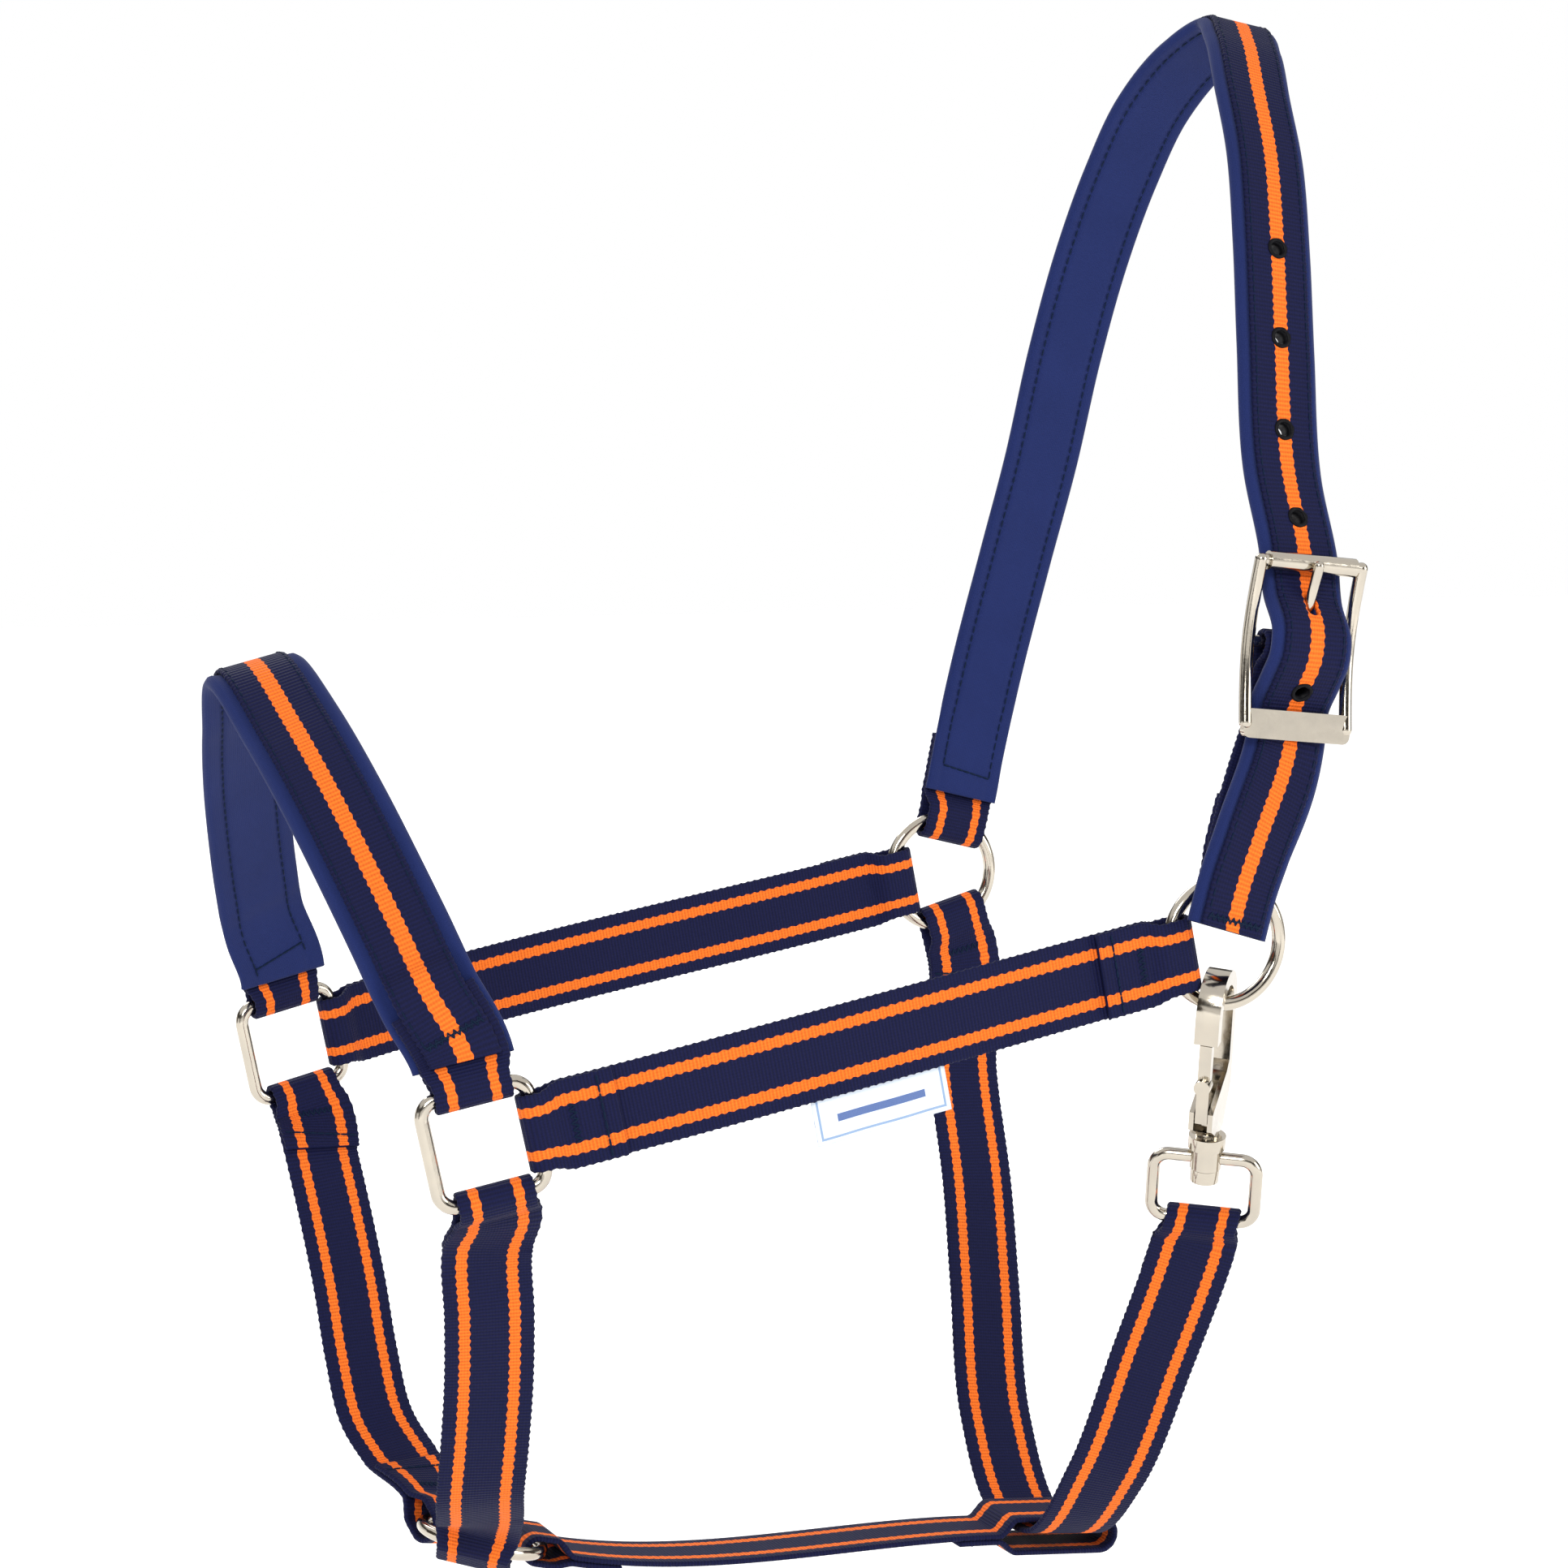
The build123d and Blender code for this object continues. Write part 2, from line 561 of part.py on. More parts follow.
def crown_parts():
    """Fold on the far ring, and frames from there over the poll to the strap's loose end."""
    radial = crown_ring_radial(FAR)
    start = ring_wrap(round_centre(FAR), SIDEWAYS, radial, radial, SIDEWAYS, 1)
    backward = start[2] if start[2].X > 0 else start[2] * -1
    start = start[:2] + (backward,) + start[3:]
    points = [joined_at(start)]
    points += [crown_point(FAR, *shape) for shape in CROWN_FAR_SHAPE[::-1]]
    points += [crown_point(FAR, *shape) for shape in CROWN_SHAPE[::-1]]
    points += [Vector(0, 0, CROWN_TOP)]
    points += [crown_point(NEAR, *shape) for shape in CROWN_SHAPE]
    tail = tail_points()
    points += buckle_stack_points() + tail
    tail_direction = (tail[-1] - tail[-2]).normalized()
    low = crown_across(CROWN_LOW_TILT)
    high = crown_across(CROWN_TILT)
    acrosses = [backward, low, low] + [high] * (len(points) - 6) + [low, low, low]
    inside = Vector(-30, 0, -ROUND_DROP * 0.7)
    frames = run(points, acrosses, radial, tail_direction * -1, inside)
    return start, frames


def hole_place(frames, distance):
    """Frame and direction at a distance along the crown strap from the tongue, up being positive."""
    target = buckle_point(0, -TONGUE_CROSSING, 0)
    reach = [0.0]
    for before, after in zip(frames, frames[1:]):
        reach.append(reach[-1] + (after[0] - before[0]).length)
    nearest = min(range(len(frames)), key=lambda i: (frames[i][0] - target).length)
    wanted = reach[nearest] - distance
    index = max(i for i in range(len(frames) - 1) if reach[i] <= wanted)
    share = (wanted - reach[index]) / (reach[index + 1] - reach[index])
    point = between(frames[index][0], frames[index + 1][0], share)
    return point, frames[index][2]


def strap_holes(frames):
    """Punched holes above and below the one that the tongue is in."""
    places = [HOLE_PITCH * step for step in range(1, HOLES_ABOVE_TONGUE + 1)] + [-HOLE_PITCH * 0.96]
    cutters = []
    for distance in places:
        point, outward = hole_place(frames, distance)
        cutters.append(Plane(origin=point, z_dir=outward) * Cylinder(HOLE_RADIUS, 16))
    return cutters


def tongue_slot():
    """Room for the tongue through the strap, over its whole swing."""
    pivot = buckle_point(0, 0, -BUCKLE_SET_BACK)
    rest = (tongue_tip() - pivot).normalized()
    cutters = []
    for share in (0.0, 0.5, 1.0):
        direction = rest.rotate(Axis((0, 0, 0), BUCKLE_ACROSS), TONGUE_SWING * share)
        plane = Plane(origin=pivot + direction * (TONGUE_CROSSING + 2), z_dir=direction)
        cutters.append(plane * Cylinder(TONGUE_RADIUS + STRAP_RUB, 22))
    return cutters


def crown_webbing():
    start, frames = crown_parts()
    trim = strip(layer_stations(frames, LOOP_TAIL, 0, None))
    return trim.cut(*strap_holes(frames), *tongue_slot())


def crown_padding():
    start, frames = crown_parts()
    pad = strip(layer_stations(frames, LOOP_TAIL, 0, CROWN_PAD_WIDTH))
    return pad.cut(*strap_holes(frames), *tongue_slot())


# ---- Buckle -------------------------------------------------------------------------------------
def tongue_tip():
    """End of the tongue, resting on the front of the roller."""
    reach = hypot(BUCKLE_LENGTH / 2, BUCKLE_SET_BACK)
    rise = atan2(BUCKLE_SET_BACK, BUCKLE_LENGTH / 2)
    rise += asin((ROLLER_RADIUS + TONGUE_RADIUS + TONGUE_FIT) / reach)
    length = reach + 0.5
    return buckle_point(0, -length * cos(rise), length * sin(rise) - BUCKLE_SET_BACK)


def buckle_frame():
    """Curved frame: two side rods, a roller bar, a middle bar and a flat keeper bar."""
    half = BUCKLE_LENGTH / 2
    set_back = -BUCKLE_SET_BACK
    pieces = []
    for side in (-1, 1):
        across = side * BUCKLE_SIDE
        curve = Spline(
            buckle_point(across, -half, 0),
            buckle_point(across, -half * 0.45, set_back * 0.75),
            buckle_point(across, 0, set_back),
            buckle_point(across, half * 0.45, set_back * 0.75),
            buckle_point(across, half, 0),
        )
        pieces.append(rod(curve, BUCKLE_ROD))
        for end in (-half, half):
            pieces.append(Pos(*buckle_point(across, end, 0)) * Sphere(BUCKLE_ROD))
    for down, out in ((-half, 0), (0, set_back)):
        plane = Plane(origin=buckle_point(0, down, out), x_dir=BUCKLE_DOWN, z_dir=BUCKLE_ACROSS)
        pieces.append(plane * Cylinder(BUCKLE_BAR, 2 * BUCKLE_SIDE))
    plane = Plane(origin=buckle_point(0, half, 0), x_dir=BUCKLE_ACROSS, z_dir=BUCKLE_OUT)
    keeper = Box(2 * BUCKLE_SIDE + BUCKLE_ROD, KEEPER_HEIGHT, KEEPER_THICKNESS)
    keeper = fillet(keeper.edges().filter_by(Axis.Z), KEEPER_THICKNESS)
    pieces.append(plane * keeper)
    return pieces[0].fuse(*pieces[1:])


def buckle_roller():
    plane = Plane(
        origin=buckle_point(0, -BUCKLE_LENGTH / 2, 0), x_dir=BUCKLE_DOWN, z_dir=BUCKLE_ACROSS
    )
    length = 2 * (BUCKLE_INNER_HALF - 0.4)
    return plane * (Cylinder(ROLLER_RADIUS, length) - Cylinder(BUCKLE_BAR + ROLLER_FIT, length))


def buckle_tongue():
    """Round tongue with an eye round the middle bar."""
    pivot = buckle_point(0, 0, -BUCKLE_SET_BACK)
    tip = tongue_tip()
    direction = (tip - pivot).normalized()
    start = pivot + direction * (EYE_RADIUS - 0.8)
    path = Line(start, tip)
    shank = rod(path, TONGUE_RADIUS)
    point = Pos(*tip) * Sphere(TONGUE_RADIUS)
    plane = Plane(origin=pivot, x_dir=BUCKLE_DOWN, z_dir=BUCKLE_ACROSS)
    eye = plane * Cylinder(EYE_RADIUS, TONGUE_EYE_WIDTH)
    bore = plane * Cylinder(BUCKLE_BAR + TONGUE_FIT, TONGUE_EYE_WIDTH)
    return eye.fuse(shank, point).cut(bore)


def buckle_strap():
    """Short strap from the buckle's middle bar down to the near round ring."""
    pivot = buckle_point(0, 0, -BUCKLE_SET_BACK)
    radial = crown_ring_radial(NEAR)
    end = ring_wrap(round_centre(NEAR), SIDEWAYS, radial, radial, SIDEWAYS * NEAR, -1)
    backward = end[2] if end[2].X > 0 else end[2] * -1
    end = end[:2] + (backward,) + end[3:]
    leave = Vector(-0.12, 0.27, -1).normalized()
    outward = BUCKLE_ACROSS.cross(leave)
    if outward.Y > 0:
        outward = outward * -1
    start = bar_wrap(pivot, leave, BUCKLE_ACROSS, outward, BUCKLE_BAR, -1, 0.0)
    inside = Vector(-30, 0, -ROUND_DROP * 0.8)
    behind = -KEEPER_THICKNESS / 2 - STACK_THICKNESS - WEB_THICKNESS / 2 - 7 * STRAP_RUB
    middle = buckle_point(0, BUCKLE_LENGTH / 2 + 1, behind)
    points = [joined_at(start), middle, joined_at(end)]
    frames = run(points, [BUCKLE_ACROSS, BUCKLE_ACROSS, backward], leave, radial, inside)
    strap = webbing_strap(start, end, frames)
    plane = Plane(origin=pivot, x_dir=leave, z_dir=BUCKLE_ACROSS)
    slot = plane * Box(2 * (EYE_RADIUS + 1.5), 2 * (EYE_RADIUS + 1.5), TONGUE_EYE_WIDTH + 1.0)
    return strap.cut(slot)


# ---- Drop straps, jaw strap and throat strap ----------------------------------------------------
# Share of the square rings' spread, and shares of the way down and back to the chin ring.
DROP_SHAPE = [(0.865, 0.235, 0.17), (0.793, 0.382, 0.26), (0.717, 0.529, 0.33), (0.637, 0.676, 0.37),
              (0.530, 0.810, 0.43), (0.405, 0.880, 0.56)]
DROP_TAPER = 13.0
DROP_INWARD = 32.0          # degrees that a drop strap leans in as it leaves a square ring
DROP_RISE = 34.0            # degrees that a drop strap rises from the plane of the chin ring


def drop_strap(side):
    back, up, outward = tapered(side, SQUARE_TAPER, SQUARE_LEAN)
    bar = square_centre(side) - up * SQUARE_HALF
    down, lower_out = leaning(up * -1, outward, DROP_INWARD)
    start = bar_wrap(bar, down, back, lower_out, RING_WIRE, -1)
    radial = chin_radial(side)
    leave = radial * turned(DROP_RISE)[0] + CHIN_NORMAL * turned(DROP_RISE)[1]
    end = ring_wrap(CHIN_CENTRE, CHIN_NORMAL, radial, leave, radial, -1)
    backward = end[2] if end[2].X > 0 else end[2] * -1
    end = end[:2] + (backward,) + end[3:]
    top = joined_at(start)
    bottom = joined_at(end)
    points = [top]
    for out_share, down_share, back_share in DROP_SHAPE:
        points.append(Vector(
            between(SQUARE_X, CHIN_X, back_share),
            side * SQUARE_SPREAD * out_share,
            -between(SQUARE_DROP, CHIN_DROP, down_share),
        ))
    points.append(bottom)
    middle_across = tapered(side, DROP_TAPER, 2)[0]
    acrosses = [back] + [middle_across] * (len(points) - 2) + [backward]
    inside = Vector((CHIN_X + ROUND_X) / 2, 0, -SQUARE_DROP)
    frames = run(points, acrosses, down, leave, inside)
    return webbing_strap(start, end, frames)


# Share of the round rings' spread, and shares of the way down and forward to the lowest point.
THROAT_SHAPE = [(0.885, 0.330, -0.36), (0.735, 0.515, -0.20), (0.600, 0.668, 0.18),
                (0.400, 0.872, 0.75), (0.140, 0.993, 0.98)]
THROAT_FOLD_ANGLE = 286.0   # round the far ring, from +X
THROAT_FOLD_SLANT = 0.2     # forward slope of the fold on the swivel loop
JAW_LOOP_HALF_GAP = 4.4     # inside the jaw strap's loop round the throat strap
JAW_LOOP_ROOM = 2.0         # beside the throat strap in that loop


def throat_point(side, out_share, down_share, forward_share):
    return Vector(
        between(ROUND_X, THROAT_X, forward_share),
        side * ROUND_SPREAD * out_share,
        -between(ROUND_DROP, THROAT_DROP, down_share),
    )


def throat_strap():
    """From the far round ring, under the throat, to the swivel loop on the near side."""
    cosine, sine = turned(THROAT_FOLD_ANGLE)
    radial = Vector(cosine, 0, sine)
    start = ring_wrap(round_centre(FAR), SIDEWAYS, radial, radial, SIDEWAYS, -1)
    backward = start[2] if start[2].X > 0 else start[2] * -1
    start = start[:2] + (backward,) + start[3:]
    bar = RING_BOTTOM + SNAP_DOWN * LOOP_BOTTOM_BAR
    outward = LOOP_ACROSS.cross(SNAP_DOWN)
    if outward.Y > 0:
        outward = outward * -1
    leave = (SNAP_DOWN - LOOP_ACROSS * THROAT_FOLD_SLANT).normalized()
    end = bar_wrap(bar, leave, LOOP_ACROSS, outward, LOOP_BAR, -1)
    far_points = [throat_point(FAR, *shape) for shape in THROAT_SHAPE]
    near_points = [throat_point(NEAR, *shape) for shape in THROAT_SHAPE[2:]]
    bottom = Vector(THROAT_X, 0, -THROAT_DROP)
    points = [joined_at(start)] + far_points + [bottom] + near_points[::-1] + [joined_at(end)]
    level = Vector(turned(6)[0], 0, -turned(6)[1])
    near_across = Vector(turned(25)[0], -turned(25)[1], -0.25).normalized()
    turning = between(level, near_across, 0.6)
    acrosses = [backward] + [level] * 7 + [turning, near_across, LOOP_ACROSS]
    inside = Vector(THROAT_X, 0, -ROUND_DROP - 60)
    frames = run(points, acrosses, radial, leave, inside)
    return webbing_strap(start, end, frames)


def jaw_strap():
    """From the chin ring back to a loop that the throat strap passes through."""
    start = ring_wrap(CHIN_CENTRE, CHIN_NORMAL, CHIN_BACK, CHIN_BACK, UP * -1, 1)
    start = start[:2] + (SIDEWAYS,) + start[3:]
    slope = Vector(-1, 0, 0.08).normalized()
    rear = Vector(THROAT_X, 0, -THROAT_DROP - 0.6) - slope * (WEB_WIDTH / 2 + JAW_LOOP_ROOM)
    room = WEB_WIDTH + 2 * JAW_LOOP_ROOM
    outward = SIDEWAYS.cross(slope)
    if outward.Z > 0:
        outward = outward * -1
    end = (rear, slope, SIDEWAYS, outward, JAW_LOOP_HALF_GAP, 0.0, room, WEB_WIDTH, 1)
    inside = Vector((CHIN_X + THROAT_X) / 2, 0, -SQUARE_DROP)
    frames = run(
        [joined_at(start), joined_at(end)], [SIDEWAYS, SIDEWAYS], CHIN_BACK, slope, inside
    )
    return webbing_strap(start, end, frames)


# ---- Snap hook ----------------------------------------------------------------------------------
def snap_plane():
    """Plane of the hook: x towards the spine, y up along the hanging axis."""
    return Plane(origin=RING_BOTTOM, x_dir=HOOK_SPINE, z_dir=HOOK_SPINE.cross(SNAP_DOWN * -1))


def round_bar_at(spine, down, radius, length):
    """Cylinder across the hook."""
    plane = snap_plane()
    return plane * (Pos(spine, -down, 0) * Cylinder(radius, length))


def snap_turned(down_from, down_to, radius):
    """Cylinder on the swivel axis."""
    middle = RING_BOTTOM + SNAP_DOWN * ((down_from + down_to) / 2)
    return Plane(origin=middle, z_dir=SNAP_DOWN) * Cylinder(radius, down_to - down_from)


def hook_profile():
    """Side view of the hook and its body, with the eye open at the gate."""
    outer = HOOK_EYE + HOOK_STOCK
    arch = HOOK_LIFT - HOOK_EYE
    with BuildSketch() as sketch:
        with BuildLine():
            crown_arc = ThreePointArc((outer, arch), (0, arch + outer), (-outer, arch))
            Polyline(crown_arc @ 1, (-outer, -BEAK_END), (-HOOK_EYE, -BEAK_END), (-HOOK_EYE, arch))
            eye_arc = ThreePointArc((-HOOK_EYE, arch), (0, arch + HOOK_EYE), (HOOK_EYE, arch))
            Polyline(
                eye_arc @ 1,
                (HOOK_EYE, -EYE_END + 2.5),
                (HOOK_EYE - 2.5, -EYE_END),
                (-outer, -EYE_END - 7.0),
                (-outer, -BODY_END + 5.0),
                (-COLLAR_RADIUS + 1.5, -BODY_END),
                (COLLAR_RADIUS - 1.5, -BODY_END),
                (outer, -EYE_END - 6.0),
                crown_arc @ 0,
            )
        make_face()
    return sketch.sketch


def snap_body():
    """Hook, body with a slot for the gate, neck, collar, swivel shaft and riveted head."""
    body = extrude(snap_plane() * hook_profile(), HOOK_WIDTH / 2, both=True)
    outer = HOOK_EYE + HOOK_STOCK
    slot_half = GATE_WIDTH / 2 + GATE_FIT
    slot_bottom = GATE_PIVOT + GATE_PIN + 2.2
    slot_height = slot_bottom - EYE_END + 6.0
    slot_plane = snap_plane() * Pos(-outer / 2 + 1.0, -slot_bottom + slot_height / 2, 0)
    slot = slot_plane * Box(outer + 4.0, slot_height, 2 * slot_half)
    body = body.cut(slot)
    body = body.cut(round_bar_at(GATE_AXIS, GATE_PIVOT, GATE_PIN, HOOK_WIDTH + 1))
    neck = snap_turned(BODY_END - 3.0, COLLAR_TOP + 0.5, COLLAR_RADIUS - 2.0)
    collar = snap_turned(COLLAR_TOP, COLLAR_TOP + COLLAR_HEIGHT, COLLAR_RADIUS)
    shaft_end = BOSS_END + SWIVEL_PLAY
    shaft = snap_turned(COLLAR_TOP + COLLAR_HEIGHT - 1, shaft_end + 1, SHAFT_RADIUS)
    rivet = snap_turned(shaft_end, shaft_end + RIVET_HEIGHT, RIVET_RADIUS)
    return body.fuse(neck, collar, shaft, rivet)


def snap_gate():
    """Lever that closes the eye, with a thumb stud and a hub round the pin."""
    left = -HOOK_EYE - HOOK_STOCK + 0.5
    hub_width = GATE_WIDTH - SPRING_WIDTH - 0.4
    shift = (GATE_WIDTH - hub_width) / 2
    plane = snap_plane()
    top = BEAK_END + GATE_TIP_GAP
    length = GATE_PIVOT - top
    middle = Pos(left + GATE_THICKNESS / 2, -(top + length / 2), 0)
    lever = plane * (middle * Box(GATE_THICKNESS, length, GATE_WIDTH))
    hub = plane * (Pos(GATE_AXIS, -GATE_PIVOT, shift) * Cylinder(GATE_PIN + 1.5, hub_width))
    spring_room = plane * (
        Pos(GATE_AXIS, -GATE_PIVOT, -hub_width / 2) * Cylinder(SPRING_RADIUS + 0.4, SPRING_WIDTH + 0.6)
    )
    stud_plane = Plane(origin=snap_point(left, STUD_PLACE), z_dir=HOOK_SPINE)
    stud = stud_plane * Cylinder(STUD_RADIUS, 2 * STUD_HEIGHT)
    bore = round_bar_at(GATE_AXIS, GATE_PIVOT, GATE_PIN + SHAFT_FIT, GATE_WIDTH + 2)
    return lever.fuse(hub, stud).cut(spring_room).cut(bore)


def snap_gate_pin():
    return round_bar_at(GATE_AXIS, GATE_PIVOT, GATE_PIN, HOOK_WIDTH)


def snap_gate_spring():
    """Closed coil of the torsion spring that shuts the gate."""
    hub_width = GATE_WIDTH - SPRING_WIDTH - 0.4
    coil = Cylinder(SPRING_RADIUS, SPRING_WIDTH) - Cylinder(GATE_PIN + 0.15, SPRING_WIDTH)
    return snap_plane() * (Pos(GATE_AXIS, -GATE_PIVOT, -hub_width / 2) * coil)


def swivel_loop():
    """Rectangular loop with a boss that the snap's shaft turns in."""
    plane = Plane(
        origin=RING_BOTTOM + SNAP_DOWN * ((LOOP_TOP_BAR + LOOP_BOTTOM_BAR) / 2),
        x_dir=LOOP_ACROSS,
        z_dir=LOOP_ACROSS.cross(SNAP_DOWN * -1),
    )
    path = (plane * RectangleRounded(2 * LOOP_HALF_WIDTH, LOOP_HEIGHT, LOOP_CORNER)).wire()
    loop = rod(path, LOOP_BAR)
    boss = snap_turned(BOSS_TOP, BOSS_END, BOSS_RADIUS)
    bore = snap_turned(BOSS_TOP - 2, BOSS_END + 2, SHAFT_RADIUS + SHAFT_FIT)
    return loop.fuse(boss).cut(bore)


# ---- The whole halter ---------------------------------------------------------------------------
def noseband_pieces():
    start, end, frames = noseband_parts()
    return {
        "noseband_padding": strip(layer_stations(frames, LOOP_TAIL, LOOP_TAIL, NOSE_PAD_WIDTH)),
        "noseband_webbing": strip(layer_stations(frames, LOOP_TAIL, LOOP_TAIL, None)),
        "noseband_near_loop": short_loop(start, frames),
        "noseband_far_loop": short_loop(end, frames[::-1]),
    }


def crown_loop():
    start, frames = crown_parts()
    return short_loop(start, frames)


def all_pieces():
    pieces = {
        "near_round_ring": round_ring(round_centre(NEAR), SIDEWAYS),
        "far_round_ring": round_ring(round_centre(FAR), SIDEWAYS),
        "chin_ring": round_ring(CHIN_CENTRE, CHIN_NORMAL),
        "near_square_ring": square_ring(NEAR),
        "far_square_ring": square_ring(FAR),
        "near_cheek_strap": cheek_strap(NEAR),
        "far_cheek_strap": cheek_strap(FAR),
        "near_drop_strap": drop_strap(NEAR),
        "far_drop_strap": drop_strap(FAR),
        "jaw_strap": jaw_strap(),
        "throat_strap": throat_strap(),
        "crown_webbing": crown_webbing(),
        "crown_padding": crown_padding(),
        "crown_far_loop": crown_loop(),
        "buckle_frame": buckle_frame(),
        "buckle_roller": buckle_roller(),
        "buckle_tongue": buckle_tongue(),
        "buckle_strap": buckle_strap(),
        "snap_body": snap_body(),
        "snap_gate": snap_gate(),
        "snap_gate_pin": snap_gate_pin(),
        "snap_gate_spring": snap_gate_spring(),
        "swivel_loop": swivel_loop(),
        "size_label": size_label(),
    }
    pieces.update(noseband_pieces())
    return pieces


os.makedirs("parts", exist_ok=True)
for name, piece in all_pieces().items():
    export_step(piece, f"parts/{name}.step")
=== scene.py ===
import json
from math import asin, atan2, cos, exp, floor, hypot, pi, radians, sin, sqrt

import bpy
from mathutils import Matrix, Vector

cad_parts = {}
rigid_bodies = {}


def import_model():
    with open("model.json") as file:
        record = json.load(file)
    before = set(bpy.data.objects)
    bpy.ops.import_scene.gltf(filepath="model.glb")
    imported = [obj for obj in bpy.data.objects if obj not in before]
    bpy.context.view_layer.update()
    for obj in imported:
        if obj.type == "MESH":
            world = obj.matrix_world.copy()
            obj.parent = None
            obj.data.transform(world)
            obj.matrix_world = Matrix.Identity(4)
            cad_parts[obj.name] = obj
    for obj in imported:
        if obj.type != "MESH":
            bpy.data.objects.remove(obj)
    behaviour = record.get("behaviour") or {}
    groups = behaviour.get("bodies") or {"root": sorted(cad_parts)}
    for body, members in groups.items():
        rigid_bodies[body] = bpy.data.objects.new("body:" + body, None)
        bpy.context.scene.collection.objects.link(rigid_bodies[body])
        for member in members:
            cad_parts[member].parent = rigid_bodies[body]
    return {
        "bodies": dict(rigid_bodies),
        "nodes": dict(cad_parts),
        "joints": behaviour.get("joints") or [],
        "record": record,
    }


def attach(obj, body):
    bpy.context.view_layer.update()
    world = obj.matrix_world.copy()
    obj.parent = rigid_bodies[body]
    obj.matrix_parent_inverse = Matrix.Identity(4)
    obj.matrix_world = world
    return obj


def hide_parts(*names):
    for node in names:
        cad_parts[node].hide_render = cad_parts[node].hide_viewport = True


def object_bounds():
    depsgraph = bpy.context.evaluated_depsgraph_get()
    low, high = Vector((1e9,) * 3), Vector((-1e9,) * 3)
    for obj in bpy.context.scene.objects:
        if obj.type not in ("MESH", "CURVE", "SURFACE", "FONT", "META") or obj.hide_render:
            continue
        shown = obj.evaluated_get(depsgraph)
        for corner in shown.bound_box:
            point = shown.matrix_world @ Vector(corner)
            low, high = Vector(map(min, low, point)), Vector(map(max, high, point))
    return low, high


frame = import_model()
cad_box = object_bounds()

# Looks of the head halter. Lengths are in millimetres up to the point where a mesh is made, and the
# frame is the CAD part's: origin at the poll, +X to the back of the head, -Y the near side, +Z up.
# The straps follow the same driving dimensions as the CAD part, in finer steps.

NEAR = -1
FAR = 1

# ---- Webbing and padding ------------------------------------------------------------------------
WEB_WIDTH = 25.0            # plain straps
WEB_THICKNESS = 1.6
TRIM_WIDTH = 20.0           # webbing sewn on the outside of the padded crown and noseband
TRIM_THICKNESS = 1.5
CROWN_PAD_WIDTH = 26.0      # soft padding of the crown
NOSE_PAD_WIDTH = 28.5       # soft padding of the noseband
PAD_THICKNESS = 3.4
PAD_END_THICKNESS = 2.0     # padding squeezed flat where it is sewn over a loop
LAYER_GAP = 0.15            # air between layers that lie on each other
FOLD_CLEARANCE = 0.52       # between a folded strap and the metal it wraps
FOLD_EASE = 6.0             # length over which a fold closes up into a flat double strap
FLAP_LENGTH = 15.0          # sewn-back end of a strap
LOOP_TAIL = 20.0            # tails of the short loops, sewn between padding and trim webbing
LOOP_TAIL_MARGIN = 5.0      # beyond them, before the padding and the trim close up
PINCH = 3.4                 # how much a strap gathers where it lies in a ring
STATION_PITCH = 1.5         # spacing of the cross-sections along a strap

# ---- Rings --------------------------------------------------------------------------------------
RING_WIRE = 2.0             # radius of the wire of every ring
RING_RADIUS = WEB_WIDTH / 2 + 5.5        # round rings, to the middle of the wire
SQUARE_HALF = WEB_WIDTH / 2 + 2.5        # square rings, centre to the middle of a bar

# ---- Layout of the halter -----------------------------------------------------------------------
ROUND_X = -54.0             # round rings, below the ears
ROUND_SPREAD = 98.0         # half the distance between the two round rings
ROUND_DROP = 268.0          # below the poll
SQUARE_X = -278.0           # square rings, beside the nose
SQUARE_SPREAD = 95.0
SQUARE_DROP = 312.0
SQUARE_TAPER = 8.0          # degrees that the sides of the nose close in towards the front
SQUARE_LEAN = 12.0          # degrees that the square rings lean forward
NOSE_X = -315.0             # top of the noseband arch
NOSE_RISE = 110.0           # noseband arch above the top bars of the square rings
CHIN_X = -248.0
CHIN_DROP = 448.0
CHIN_TILT = 14.0            # degrees that the chin ring slopes down towards the back
CHIN_SPREAD_ANGLE = 115.0   # degrees between the jaw strap and each drop strap round the chin ring
THROAT_X = -63.0            # lowest point of the throat strap
THROAT_DROP = 464.0

# ---- Buckle -------------------------------------------------------------------------------------
BUCKLE_X = -30.0
BUCKLE_SPREAD = 100.0
BUCKLE_DROP = 182.5
BUCKLE_LENGTH = 47.0        # roller bar to keeper bar, centre to centre
BUCKLE_SET_BACK = 3.0       # how far the middle bar sits behind the two end bars
BUCKLE_BAR = 1.75           # radius of the middle bar and of the bar in the roller
ROLLER_RADIUS = 2.75
KEEPER_HEIGHT = 8.5
KEEPER_THICKNESS = 2.2
TONGUE_RADIUS = 1.5
TONGUE_EYE = 2.1            # thickness of the tongue's eye round the middle bar
TONGUE_FIT = 0.1
TONGUE_SWING = 14.0         # degrees that the tongue can lift off the roller
TONGUE_CROSSING = 10.5      # where the tongue passes the strap, above the middle bar
STRAP_RUB = 0.35            # between the crown strap and the metal it lies on
STRAP_BULGE = 1.2           # how far the crown strap stands off the middle bar

# ---- Crown strap --------------------------------------------------------------------------------
HOLE_RADIUS = 2.6
HOLE_PITCH = 28.0
HOLES_ABOVE_TONGUE = 4
TAIL_CLEARANCE = 1.3        # between the strap's loose end and the fold on the near ring under it

